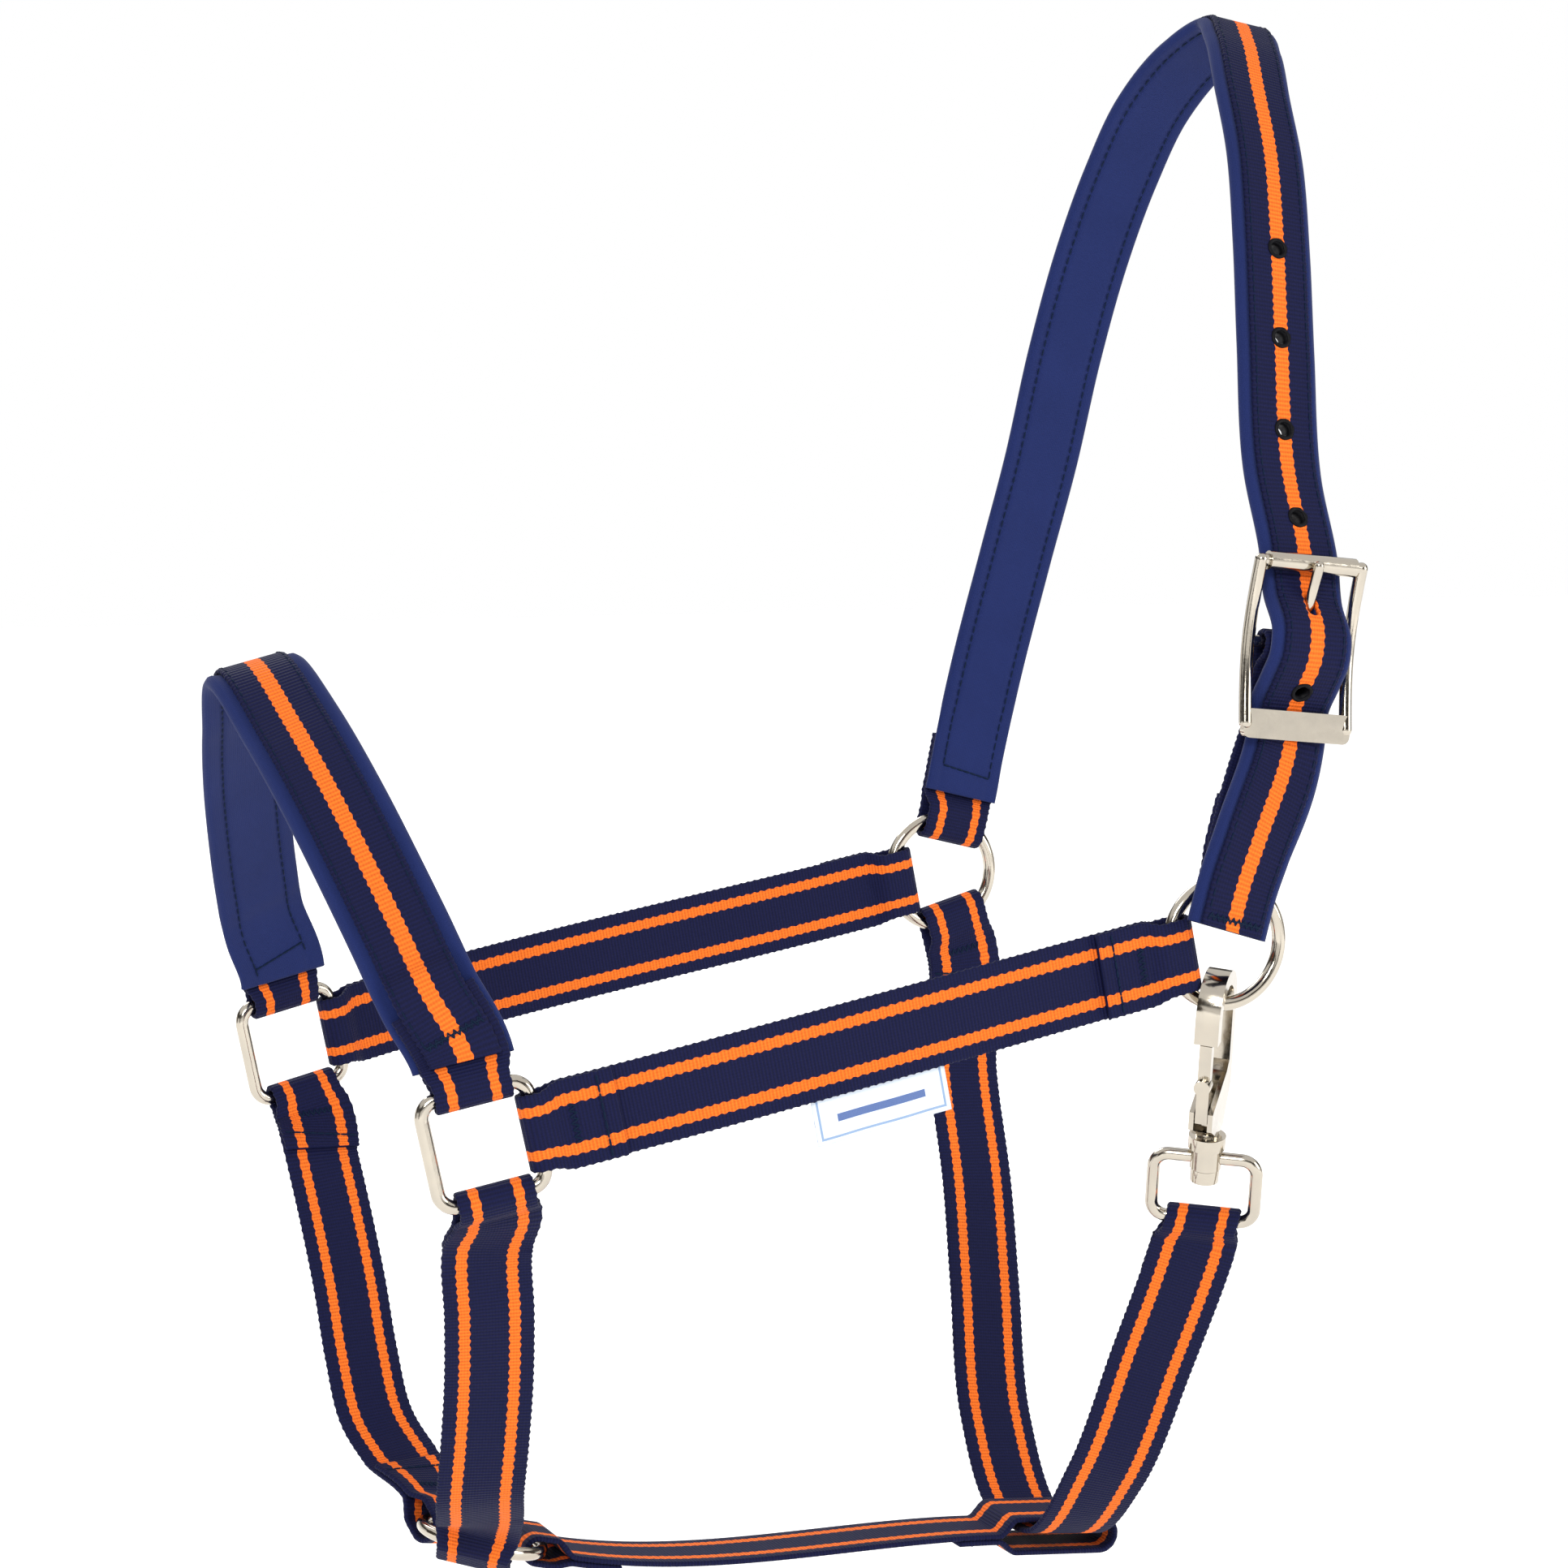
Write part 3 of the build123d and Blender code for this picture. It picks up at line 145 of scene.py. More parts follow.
# ---- Snap hook ----------------------------------------------------------------------------------
SNAP_INWARD = 15.5          # degrees that the hanging snap leans in under the jaw
SNAP_BACKWARD = 4.8         # degrees that it leans towards the back of the head
HANG_ANGLE = 7.0            # degrees round the ring from its lowest point to the hook
BODY_END = 40.5             # bottom of the hook's body
COLLAR_HEIGHT = 3.9
BOSS_HEIGHT = 6.2
SWIVEL_PLAY = 0.3           # end play of the shaft in the swivel loop
LOOP_HEIGHT = 20.2          # swivel loop, top bar to bottom bar, centre to centre
LOOP_BAR = 1.9
LOOP_TURN = 33.0            # degrees that the swivel loop faces forward

# ---- Label --------------------------------------------------------------------------------------
LABEL_LENGTH = 42.0
LABEL_HEIGHT = 17.0
LABEL_TUCK = 4.0            # part of the label hidden behind the cheek strap
LABEL_THICKNESS = 0.5
LABEL_PLACE = 0.51          # along the cheek strap, from the square ring


FOLD_SHARES = [step / 12 for step in range(13)]      # steps in which a fold closes up


def vec(x, y, z):
    return Vector((x, y, z))


def turned(degrees):
    """Cosine and sine of an angle given in degrees."""
    return cos(radians(degrees)), sin(radians(degrees))


def eased(share):
    """Smooth step from 0 to 1."""
    return share * share * (3 - 2 * share)


def between(first, last, share):
    return first + (last - first) * share


def facing(vector, direction):
    """The vector or its opposite, whichever points along with the direction."""
    return vector * -1 if vector.dot(direction) < 0 else vector


def distances(stations):
    """Distance along a strap at each of its stations or frames."""
    travelled = [0.0]
    for before, after in zip(stations, stations[1:]):
        travelled.append(travelled[-1] + (after[0] - before[0]).length)
    return travelled


def run(points, acrosses, leave, arrive, inside):
    """Frames (point, across, outward) along a smooth curve through the points.

    leave and arrive are the directions in which the strap sets off from its two ends.
    inside is a point within the head, so that outward points away from it.
    """
    lengths = [(after - before).length for before, after in zip(points, points[1:])]
    slopes = [(after - before) / span for before, after, span in zip(points, points[1:], lengths)]
    headings = [leave]
    for index in range(1, len(points) - 1):
        before, after = lengths[index - 1], lengths[index]
        heading = slopes[index - 1] * after + slopes[index] * before
        headings.append(heading / (before + after))
    headings.append(arrive * -1)
    frames = []
    for leg, span in enumerate(lengths):
        steps = max(2, round(span / STATION_PITCH))
        for step in range(steps + (leg == len(lengths) - 1)):
            share = step / steps
            rest = 1 - share
            point = points[leg] * (rest * rest * (1 + 2 * share))
            point += points[leg + 1] * (share * share * (3 - 2 * share))
            point += headings[leg] * (span * share * rest * rest)
            point -= headings[leg + 1] * (span * share * share * rest)
            along = slopes[leg] * (6 * share * rest)
            along += headings[leg] * (rest * (1 - 3 * share))
            along += headings[leg + 1] * (share * (3 * share - 2))
            along = along.normalized()
            across = between(acrosses[leg], acrosses[leg + 1], share)
            across = (across - along * across.dot(along)).normalized()
            frames.append((point, across, facing(across.cross(along), point - inside)))
    return frames


def covered(frames, length):
    """The first frames of a run, up to a length."""
    return [frame for frame, reach in zip(frames, distances(frames)) if reach <= length]


def lifted(frames, offset, width, thickness):
    """Stations on the frames, moved outward by an offset."""
    return [
        (point + outward * offset, across, outward, width, thickness)
        for point, across, outward in frames
    ]


def folded(wrap, lay, width, thickness):
    """Stations of a fold, from the flap side round the metal to the main side.

    wrap is (origin, leave, across, outward, inner, turn_at, open_to, fold_width, side):
    the strap turns round a circle of radius inner, turn_at along leave from the origin, and stays
    open up to open_to. side is 1 where the flap lies outside the main strap, and -1 inside.
    """
    origin, leave, across, outward, inner, turn_at, open_to, fold_width, side = wrap
    half = inner + thickness / 2
    join = open_to + FOLD_EASE
    route = []
    for share in FOLD_SHARES:
        route.append((between(join, open_to, share), between(lay, half, eased(share)), share))
    for angle in range(90, 271, 9):
        cosine, sine = turned(angle)
        route.append((turn_at + half * cosine, half * sine, 1.0))
    for share in FOLD_SHARES:
        route.append((between(open_to, join, share), between(-half, 0.0, eased(share)), 1.0 - share))
    stations = []
    for reach, height, share in route:
        centre = origin + leave * reach + outward * (height * side)
        stations.append((centre, across, None, between(width, fold_width, eased(share)), thickness))
    return stations


def joined_at(wrap):
    """Point where the fold has closed and the single strap goes on."""
    origin, leave, across, outward, inner, turn_at, open_to, fold_width, side = wrap
    return origin + leave * (open_to + FOLD_EASE)


def bar_wrap(bar_point, leave, across, outward, bar_radius, side, pinch=PINCH):
    """Fold round a straight bar."""
    inner = bar_radius + FOLD_CLEARANCE
    return (bar_point, leave, across, outward, inner, 0.0, bar_radius, WEB_WIDTH - pinch, side)


def ring_wrap(centre, normal, radial, leave, outward, side):
    """Fold round a round ring, at the direction radial from the ring's centre."""
    fold_width = WEB_WIDTH - PINCH
    reach = sqrt(RING_RADIUS**2 - (fold_width / 2) ** 2)
    wire = RING_WIRE * RING_RADIUS / reach
    across = normal.cross(radial).normalized()
    leave = leave.normalized()
    height = facing(across.cross(leave), outward)
    slant = abs(leave.dot(normal))
    middle = radial * ((RING_RADIUS + reach) / 2)
    origin = centre + height * middle.dot(height)
    inner = wire + FOLD_CLEARANCE + (RING_RADIUS - reach) / 2 * slant
    turn_at = reach * leave.dot(radial)
    open_to = RING_RADIUS * leave.dot(radial) + RING_WIRE
    return (origin, leave, across, height, inner, turn_at, open_to, fold_width, side)


def aimed(wrap, direction):
    """The same fold, with its across axis pointing along with a direction."""
    return wrap[:2] + (facing(wrap[2], direction),) + wrap[3:]


def webbing_strap(start, end, frames):
    """Stations of a plain strap with a sewn-back fold at each end."""
    lay = WEB_THICKNESS + LAYER_GAP
    backwards = frames[::-1]
    stations = lifted(covered(frames, FLAP_LENGTH)[:0:-1], lay * start[-1], WEB_WIDTH, WEB_THICKNESS)
    stations += folded(start, lay, WEB_WIDTH, WEB_THICKNESS)
    stations += lifted(frames[1:-1], 0.0, WEB_WIDTH, WEB_THICKNESS)
    stations += folded(end, lay, WEB_WIDTH, WEB_THICKNESS)[::-1]
    stations += lifted(covered(backwards, FLAP_LENGTH)[1:], lay * end[-1], WEB_WIDTH, WEB_THICKNESS)
    return stations


def short_loop(wrap, frames):
    """Stations of a short loop whose two tails are sewn between padding and trim."""
    lay = WEB_THICKNESS + LAYER_GAP
    tail = covered(frames, LOOP_TAIL)
    stations = lifted(tail[:0:-1], lay * wrap[-1], WEB_WIDTH, WEB_THICKNESS)
    stations += folded(wrap, lay, WEB_WIDTH, WEB_THICKNESS)
    stations += lifted(tail[1:], 0.0, WEB_WIDTH, WEB_THICKNESS)
    return stations


UP = vec(0, 0, 1)
BACK = vec(1, 0, 0)
SIDEWAYS = vec(0, 1, 0)


def round_centre(side):
    return vec(ROUND_X, side * ROUND_SPREAD, -ROUND_DROP)


def square_centre(side):
    return vec(SQUARE_X, side * SQUARE_SPREAD, -SQUARE_DROP)


def tapered(side, taper, lean):
    """Axes (back, up, outward) of a surface that closes in and leans towards the nose."""
    cos_taper, sin_taper = turned(taper)
    cos_lean, sin_lean = turned(lean)
    back = vec(cos_taper * cos_lean, side * sin_taper * cos_lean, sin_lean)
    up = vec(-cos_taper * sin_lean, -side * sin_taper * sin_lean, cos_lean)
    outward = vec(-sin_taper, side * cos_taper, 0)
    return back, up, outward


def leaning(direction, outward, angle):
    """Direction and outward turned towards the head by an angle."""
    cosine, sine = turned(angle)
    return direction * cosine - outward * sine, outward * cosine + direction * sine


def cheek_direction(side):
    """From the round ring towards the square ring, in the round ring's plane."""
    away = square_centre(side) - round_centre(side)
    return vec(away.x, 0, away.z).normalized()


CHIN_CENTRE = vec(CHIN_X, 0, -CHIN_DROP)
CHIN_BACK = vec(turned(CHIN_TILT)[0], 0, -turned(CHIN_TILT)[1])
CHIN_NORMAL = vec(turned(CHIN_TILT)[1], 0, turned(CHIN_TILT)[0])


def chin_radial(side):
    """Direction from the chin ring's centre to where a drop strap lies on it."""
    cosine, sine = turned(CHIN_SPREAD_ANGLE)
    return CHIN_BACK * cosine + SIDEWAYS * (side * sine)


# The snap hangs along SNAP_DOWN from a point low on the near ring's wire.
HANG_ACROSS, HANG_DOWN = turned(90 - HANG_ANGLE)
RING_BOTTOM = round_centre(NEAR) - (BACK * HANG_ACROSS + UP * HANG_DOWN) * RING_RADIUS
SNAP_DOWN = vec(turned(SNAP_BACKWARD)[1], turned(SNAP_INWARD)[1], -turned(SNAP_INWARD)[0]).normalized()
LOOP_ACROSS = vec(turned(LOOP_TURN)[0], -turned(LOOP_TURN)[1], 0)
LOOP_ACROSS = (LOOP_ACROSS - SNAP_DOWN * LOOP_ACROSS.dot(SNAP_DOWN)).normalized()
COLLAR_TOP = BODY_END + 1.5
BOSS_TOP = COLLAR_TOP + COLLAR_HEIGHT + SWIVEL_PLAY
LOOP_TOP_BAR = BOSS_TOP + BOSS_HEIGHT / 2
LOOP_BOTTOM_BAR = LOOP_TOP_BAR + LOOP_HEIGHT

# Buckle axes: across the strap, down along it, and outward from the head.
BUCKLE_DOWN = vec(-0.10, 0, -1).normalized()
BUCKLE_ACROSS = vec(-BUCKLE_DOWN.z, 0, BUCKLE_DOWN.x)
BUCKLE_OUT = vec(0, -1, 0)
STACK_THICKNESS = PAD_THICKNESS + TRIM_THICKNESS + LAYER_GAP
STACK_INNER = PAD_THICKNESS + LAYER_GAP / 2   # from the seam between the layers to the padding's face
STACK_OUTER = TRIM_THICKNESS + LAYER_GAP / 2  # from the seam to the trim's face
EYE_RADIUS = BUCKLE_BAR + TONGUE_FIT + TONGUE_EYE


def buckle_point(across, down, out):
    """Point in the buckle's own axes; the end bars' middle plane is at out = 0."""
    middle = vec(BUCKLE_X, -BUCKLE_SPREAD, -BUCKLE_DROP)
    return middle + BUCKLE_ACROSS * across + BUCKLE_DOWN * down + BUCKLE_OUT * out


def cheek_parts(side):
    """Folds and frames of a cheek strap, from the square ring back to the round ring."""
    back, up, outward = tapered(side, SQUARE_TAPER, SQUARE_LEAN)
    inside = vec((SQUARE_X + ROUND_X) / 2, 0, -(SQUARE_DROP + ROUND_DROP) / 2)
    bar = square_centre(side) + back * SQUARE_HALF
    start = bar_wrap(bar, back, up, outward, RING_WIRE, 1)
    radial = cheek_direction(side)
    end = aimed(ring_wrap(round_centre(side), SIDEWAYS, radial, radial, SIDEWAYS * side, 1), UP)
    frames = run([joined_at(start), joined_at(end)], [up, end[2]], back, radial, inside)
    return start, end, frames


# Share of the half spread, share of the rise, for each point between a square ring and the top.
NOSE_SHAPE = [(0.90, 0.24), (0.81, 0.37), (0.69, 0.51), (0.51, 0.69), (0.285, 0.86)]
NOSE_INWARD = 15.0          # degrees that the noseband leans in as it leaves a square ring
NOSE_LEAN = 14.0
NOSE_TAPER = 15.0


def nose_points(side):
    """Points of one half of the noseband above its fold, lowest first."""
    back, up, outward = tapered(side, SQUARE_TAPER, SQUARE_LEAN)
    bar = square_centre(side) + up * SQUARE_HALF
    points = []
    for out_share, rise_share in NOSE_SHAPE:
        forward = (NOSE_X - bar.x) * rise_share**0.9
        points.append(vec(bar.x + forward, bar.y * out_share, bar.z + NOSE_RISE * rise_share))
    return points


def noseband_parts():
    near_axes = tapered(NEAR, SQUARE_TAPER, SQUARE_LEAN)
    far_axes = tapered(FAR, SQUARE_TAPER, SQUARE_LEAN)
    near_bar = square_centre(NEAR) + near_axes[1] * SQUARE_HALF
    far_bar = square_centre(FAR) + far_axes[1] * SQUARE_HALF
    near_leave, near_out = leaning(near_axes[1], near_axes[2], NOSE_INWARD)
    far_leave, far_out = leaning(far_axes[1], far_axes[2], NOSE_INWARD)
    start = bar_wrap(near_bar, near_leave, near_axes[0], near_out, RING_WIRE, 1)
    end = bar_wrap(far_bar, far_leave, far_axes[0], far_out, RING_WIRE, 1)
    top = vec(NOSE_X, 0, near_bar.z + NOSE_RISE)
    near_points = nose_points(NEAR)
    far_points = nose_points(FAR)
    points = [joined_at(start)] + near_points + [top] + far_points[::-1] + [joined_at(end)]
    near_across = tapered(NEAR, NOSE_TAPER, NOSE_LEAN)[0]
    far_across = tapered(FAR, NOSE_TAPER, NOSE_LEAN)[0]
    top_across = tapered(FAR, 0, NOSE_LEAN)[0]
    acrosses = [near_axes[0]] + [near_across] * 5 + [top_across] + [far_across] * 5 + [far_axes[0]]
    inside = vec(NOSE_X + 30, 0, -SQUARE_DROP)
    frames = run(points, acrosses, near_leave, far_leave, inside)
    return start, end, frames


def layer_stations(frames, start_tail, end_tail, pad_width):
    """Stations of the padding, or of the trim without a pad width.

    They part near an end with a tail length, where the tails of a loop lie between them.
    """
    lay = WEB_THICKNESS + LAYER_GAP
    parting = LOOP_TAIL_MARGIN + FOLD_EASE
    travelled = distances(frames)
    stations = []
    for (point, across, outward), reach in zip(frames, travelled):
        start_share = (start_tail + parting - reach) / FOLD_EASE if start_tail else 0.0
        end_share = (end_tail + parting - travelled[-1] + reach) / FOLD_EASE if end_tail else 0.0
        spread = eased(min(1.0, max(0.0, start_share, end_share)))
        if pad_width:
            thickness = between(PAD_THICKNESS, PAD_END_THICKNESS, spread)
            offset = -LAYER_GAP / 2 - thickness / 2 - spread * (WEB_THICKNESS / 2 + LAYER_GAP / 2)
            stations.append((point + outward * offset, across, outward, pad_width, thickness))
        else:
            offset = LAYER_GAP / 2 + TRIM_THICKNESS / 2
            offset += spread * (lay + WEB_THICKNESS / 2 + LAYER_GAP / 2)
            stations.append((point + outward * offset, across, outward, TRIM_WIDTH, TRIM_THICKNESS))
    return stations


# Share of the ring spread, share of the ring drop, forward offset, for points below the poll.
CROWN_SHAPE = [(0.155, 0.010, -4.5), (0.345, 0.071, -11), (0.490, 0.145, -14.5), (0.620, 0.246, -19),
               (0.725, 0.358, -23), (0.835, 0.492, -26.5)]
CROWN_FAR_SHAPE = [(0.935, 0.612, -31), (1.015, 0.757, -38), (1.030, 0.855, -43.5)]
CROWN_TOP = PAD_THICKNESS + LAYER_GAP / 2     # the padding's inside is at the poll
CROWN_TILT = 10.0           # degrees that the crown slopes down towards the back, across its width
CROWN_LOW_TILT = 18.0
CROWN_RING_ANGLE = 76.0     # round a round ring, from +X to the strap above it


def crown_point(side, out_share, drop_share, offset):
    return vec(offset, side * ROUND_SPREAD * out_share, -ROUND_DROP * drop_share)


def crown_across(tilt):
    return vec(turned(tilt)[0], 0, -turned(tilt)[1])


def crown_ring_radial():
    """Direction from a round ring's centre to the strap above it."""
    cosine, sine = turned(CROWN_RING_ANGLE)
    return vec(cosine, 0, sine)


def buckle_stack_points():
    """Seam of the crown strap where it weaves through the buckle, from the top down."""
    half = BUCKLE_LENGTH / 2
    keeper_edge = half - KEEPER_HEIGHT / 2
    behind_roller = -ROLLER_RADIUS - STRAP_RUB - STACK_OUTER
    behind_keeper = -KEEPER_THICKNESS / 2 - STRAP_RUB - STACK_OUTER
    over_bar = -BUCKLE_SET_BACK + EYE_RADIUS + STRAP_RUB + STRAP_BULGE + STACK_INNER
    swing = over_bar - behind_roller
    return [
        buckle_point(0, -half - 1.0, behind_roller - 0.8),
        buckle_point(0, -half * 0.62, behind_roller + swing * 0.27),
        buckle_point(0, -half * 0.15, over_bar),
        buckle_point(0, half * 0.15, over_bar),
        buckle_point(0, between(half * 0.15, keeper_edge, 0.5), between(over_bar, behind_keeper, 0.5)),
        buckle_point(0, keeper_edge, behind_keeper - 0.3),
        buckle_point(0, half + KEEPER_HEIGHT / 2, behind_keeper - 0.3),
    ]


def tail_points():
    """Seam of the strap's loose end, which lies over the near round ring and its fold."""
    over_fold = RING_WIRE + FOLD_CLEARANCE + WEB_THICKNESS + STRAP_RUB + STACK_INNER
    ring = round_centre(NEAR) - SIDEWAYS * (over_fold + TAIL_CLEARANCE)
    return [
        ring + vec(5.5, 1.3, RING_RADIUS + 11),
        ring + vec(0.5, 0, RING_RADIUS),
        ring + vec(-3.6, -0.4, 4.5),
    ]


def crown_parts():
    """Fold on the far ring, and frames from there over the poll to the strap's loose end."""
    radial = crown_ring_radial()
    start = aimed(ring_wrap(round_centre(FAR), SIDEWAYS, radial, radial, SIDEWAYS, 1), BACK)
    points = [joined_at(start)]
    points += [crown_point(FAR, *shape) for shape in CROWN_FAR_SHAPE[::-1]]
    points += [crown_point(FAR, *shape) for shape in CROWN_SHAPE[::-1]]
    points += [vec(0, 0, CROWN_TOP)]
    points += [crown_point(NEAR, *shape) for shape in CROWN_SHAPE]
    tail = tail_points()
    points += buckle_stack_points() + tail
    tail_direction = (tail[-1] - tail[-2]).normalized()
    low = crown_across(CROWN_LOW_TILT)
    high = crown_across(CROWN_TILT)
    acrosses = [start[2], low, low] + [high] * (len(points) - 6) + [low, low, low]
    inside = vec(-30, 0, -ROUND_DROP * 0.7)
    frames = run(points, acrosses, radial, tail_direction * -1, inside)
    return start, frames


def hole_place(frames, distance):
    """Frame and direction at a distance along the crown strap from the tongue, up being positive."""
    target = buckle_point(0, -TONGUE_CROSSING, 0)
    reach = distances(frames)
    nearest = min(range(len(frames)), key=lambda i: (frames[i][0] - target).length)
    wanted = reach[nearest] - distance
    index = max(i for i in range(len(frames) - 1) if reach[i] <= wanted)
    share = (wanted - reach[index]) / (reach[index + 1] - reach[index])
    point = between(frames[index][0], frames[index + 1][0], share)
    return point, frames[index][2]


def tongue_tip():
    """End of the tongue, resting on the front of the roller."""
    reach = hypot(BUCKLE_LENGTH / 2, BUCKLE_SET_BACK)
    rise = atan2(BUCKLE_SET_BACK, BUCKLE_LENGTH / 2)
    rise += asin((ROLLER_RADIUS + TONGUE_RADIUS + TONGUE_FIT) / reach)
    length = reach + 0.5
    return buckle_point(0, -length * cos(rise), length * sin(rise) - BUCKLE_SET_BACK)


def buckle_strap():
    """Short strap from the buckle's middle bar down to the near round ring."""
    pivot = buckle_point(0, 0, -BUCKLE_SET_BACK)
    radial = crown_ring_radial()
    end = aimed(ring_wrap(round_centre(NEAR), SIDEWAYS, radial, radial, SIDEWAYS * NEAR, -1), BACK)
    leave = vec(-0.12, 0.27, -1).normalized()
    outward = facing(BUCKLE_ACROSS.cross(leave), SIDEWAYS * NEAR)
    start = bar_wrap(pivot, leave, BUCKLE_ACROSS, outward, BUCKLE_BAR, -1, 0.0)
    inside = vec(-30, 0, -ROUND_DROP * 0.8)
    behind = -KEEPER_THICKNESS / 2 - STACK_THICKNESS - WEB_THICKNESS / 2 - 7 * STRAP_RUB
    middle = buckle_point(0, BUCKLE_LENGTH / 2 + 1, behind)
    points = [joined_at(start), middle, joined_at(end)]
    frames = run(points, [BUCKLE_ACROSS, BUCKLE_ACROSS, end[2]], leave, radial, inside)
    return webbing_strap(start, end, frames)


# Share of the square rings' spread, and shares of the way down and back to the chin ring.
DROP_SHAPE = [(0.865, 0.235, 0.17), (0.793, 0.382, 0.26), (0.717, 0.529, 0.33), (0.637, 0.676, 0.37),
              (0.530, 0.810, 0.43), (0.405, 0.880, 0.56)]
DROP_TAPER = 13.0
DROP_INWARD = 32.0          # degrees that a drop strap leans in as it leaves a square ring
DROP_RISE = 34.0            # degrees that a drop strap rises from the plane of the chin ring


def drop_strap(side):
    back, up, outward = tapered(side, SQUARE_TAPER, SQUARE_LEAN)
    bar = square_centre(side) - up * SQUARE_HALF
    down, lower_out = leaning(up * -1, outward, DROP_INWARD)
    start = bar_wrap(bar, down, back, lower_out, RING_WIRE, -1)
    radial = chin_radial(side)
    leave = radial * turned(DROP_RISE)[0] + CHIN_NORMAL * turned(DROP_RISE)[1]
    end = aimed(ring_wrap(CHIN_CENTRE, CHIN_NORMAL, radial, leave, radial, -1), BACK)
    points = [joined_at(start)]
    for out_share, down_share, back_share in DROP_SHAPE:
        points.append(vec(
            between(SQUARE_X, CHIN_X, back_share),
            side * SQUARE_SPREAD * out_share,
            -between(SQUARE_DROP, CHIN_DROP, down_share),
        ))
    points.append(joined_at(end))
    middle_across = tapered(side, DROP_TAPER, 2)[0]
    acrosses = [back] + [middle_across] * (len(points) - 2) + [end[2]]
    inside = vec((CHIN_X + ROUND_X) / 2, 0, -SQUARE_DROP)
    frames = run(points, acrosses, down, leave, inside)
    return webbing_strap(start, end, frames)


# Share of the round rings' spread, and shares of the way down and forward to the lowest point.
THROAT_SHAPE = [(0.885, 0.330, -0.36), (0.735, 0.515, -0.20), (0.600, 0.668, 0.18),
                (0.400, 0.872, 0.75), (0.140, 0.993, 0.98)]
THROAT_FOLD_ANGLE = 286.0   # round the far ring, from +X
THROAT_FOLD_SLANT = 0.2     # forward slope of the fold on the swivel loop
JAW_LOOP_HALF_GAP = 4.4     # inside the jaw strap's loop round the throat strap
JAW_LOOP_ROOM = 2.0         # beside the throat strap in that loop


def throat_point(side, out_share, down_share, forward_share):
    return vec(
        between(ROUND_X, THROAT_X, forward_share),
        side * ROUND_SPREAD * out_share,
        -between(ROUND_DROP, THROAT_DROP, down_share),
    )


def throat_strap():
    """From the far round ring, under the throat, to the swivel loop on the near side."""
    cosine, sine = turned(THROAT_FOLD_ANGLE)
    radial = vec(cosine, 0, sine)
    start = aimed(ring_wrap(round_centre(FAR), SIDEWAYS, radial, radial, SIDEWAYS, -1), BACK)
    bar = RING_BOTTOM + SNAP_DOWN * LOOP_BOTTOM_BAR
    outward = facing(LOOP_ACROSS.cross(SNAP_DOWN), SIDEWAYS * NEAR)
    leave = (SNAP_DOWN - LOOP_ACROSS * THROAT_FOLD_SLANT).normalized()
    end = bar_wrap(bar, leave, LOOP_ACROSS, outward, LOOP_BAR, -1)
    far_points = [throat_point(FAR, *shape) for shape in THROAT_SHAPE]
    near_points = [throat_point(NEAR, *shape) for shape in THROAT_SHAPE[2:]]
    bottom = vec(THROAT_X, 0, -THROAT_DROP)
    points = [joined_at(start)] + far_points + [bottom] + near_points[::-1] + [joined_at(end)]
    level = vec(turned(6)[0], 0, -turned(6)[1])
    near_across = vec(turned(25)[0], -turned(25)[1], -0.25).normalized()
    turning = between(level, near_across, 0.6)
    acrosses = [start[2]] + [level] * 7 + [turning, near_across, LOOP_ACROSS]
    inside = vec(THROAT_X, 0, -ROUND_DROP - 60)
    frames = run(points, acrosses, radial, leave, inside)
    return webbing_strap(start, end, frames)


def jaw_strap():
    """From the chin ring back to a loop that the throat strap passes through."""
    start = ring_wrap(CHIN_CENTRE, CHIN_NORMAL, CHIN_BACK, CHIN_BACK, UP * -1, 1)
    start = start[:2] + (SIDEWAYS,) + start[3:]
    slope = vec(-1, 0, 0.08).normalized()
    rear = vec(THROAT_X, 0, -THROAT_DROP - 0.6) - slope * (WEB_WIDTH / 2 + JAW_LOOP_ROOM)
    room = WEB_WIDTH + 2 * JAW_LOOP_ROOM
    outward = facing(SIDEWAYS.cross(slope), UP * -1)
    end = (rear, slope, SIDEWAYS, outward, JAW_LOOP_HALF_GAP, 0.0, room, WEB_WIDTH, 1)
    inside = vec((CHIN_X + THROAT_X) / 2, 0, -SQUARE_DROP)
    frames = run([joined_at(start), joined_at(end)], [SIDEWAYS] * 2, CHIN_BACK, slope, inside)
    return webbing_strap(start, end, frames)


# ---- Meshes -------------------------------------------------------------------------------------
MILLIMETRE = 0.001
SECTION_PITCH = 0.8         # along a strap, in the mesh
SCALLOP_PITCH = 2.4         # beads of a woven selvedge
SCALLOP_DEPTH = 0.2
STRIPE_PITCH = 2.7          # waves along the edge of a stripe
STRIPE_WAVE = 0.2
STITCH_PITCH = 3.1
STITCH_LENGTH = 2.5
STITCH_RADIUS = 0.24
TRIM_STITCH_PLACE = TRIM_WIDTH / 2 - 1.3
THREAD_LIFT = 0.05          # middle of the thread above the cloth, in a long row
WEB_COLUMNS = 12            # flat faces across webbing
WEB_EDGE = 0.42             # rounded edge of webbing, as a share of its thickness
PAD_COLUMNS = 30
PAD_EDGE = 1.5              # rounded edge of padding
GROOVE_WIDTH = 0.8          # how stitching draws the padding's inside face in
GROOVE_DEPTH = 0.38
PUFF_WIDTH = 1.1            # how the padding swells beside the trim
PUFF_HEIGHT = 0.45
PUFF_INSET = 0.6
HARNESS = "harness"


def blended(first, second, share):
    """Section between two neighbouring ones."""
    centre, across, normal, width, thickness = (
        between(one, other, share) for one, other in zip(first, second)
    )
    return centre, across.normalized(), normal.normalized(), width, thickness


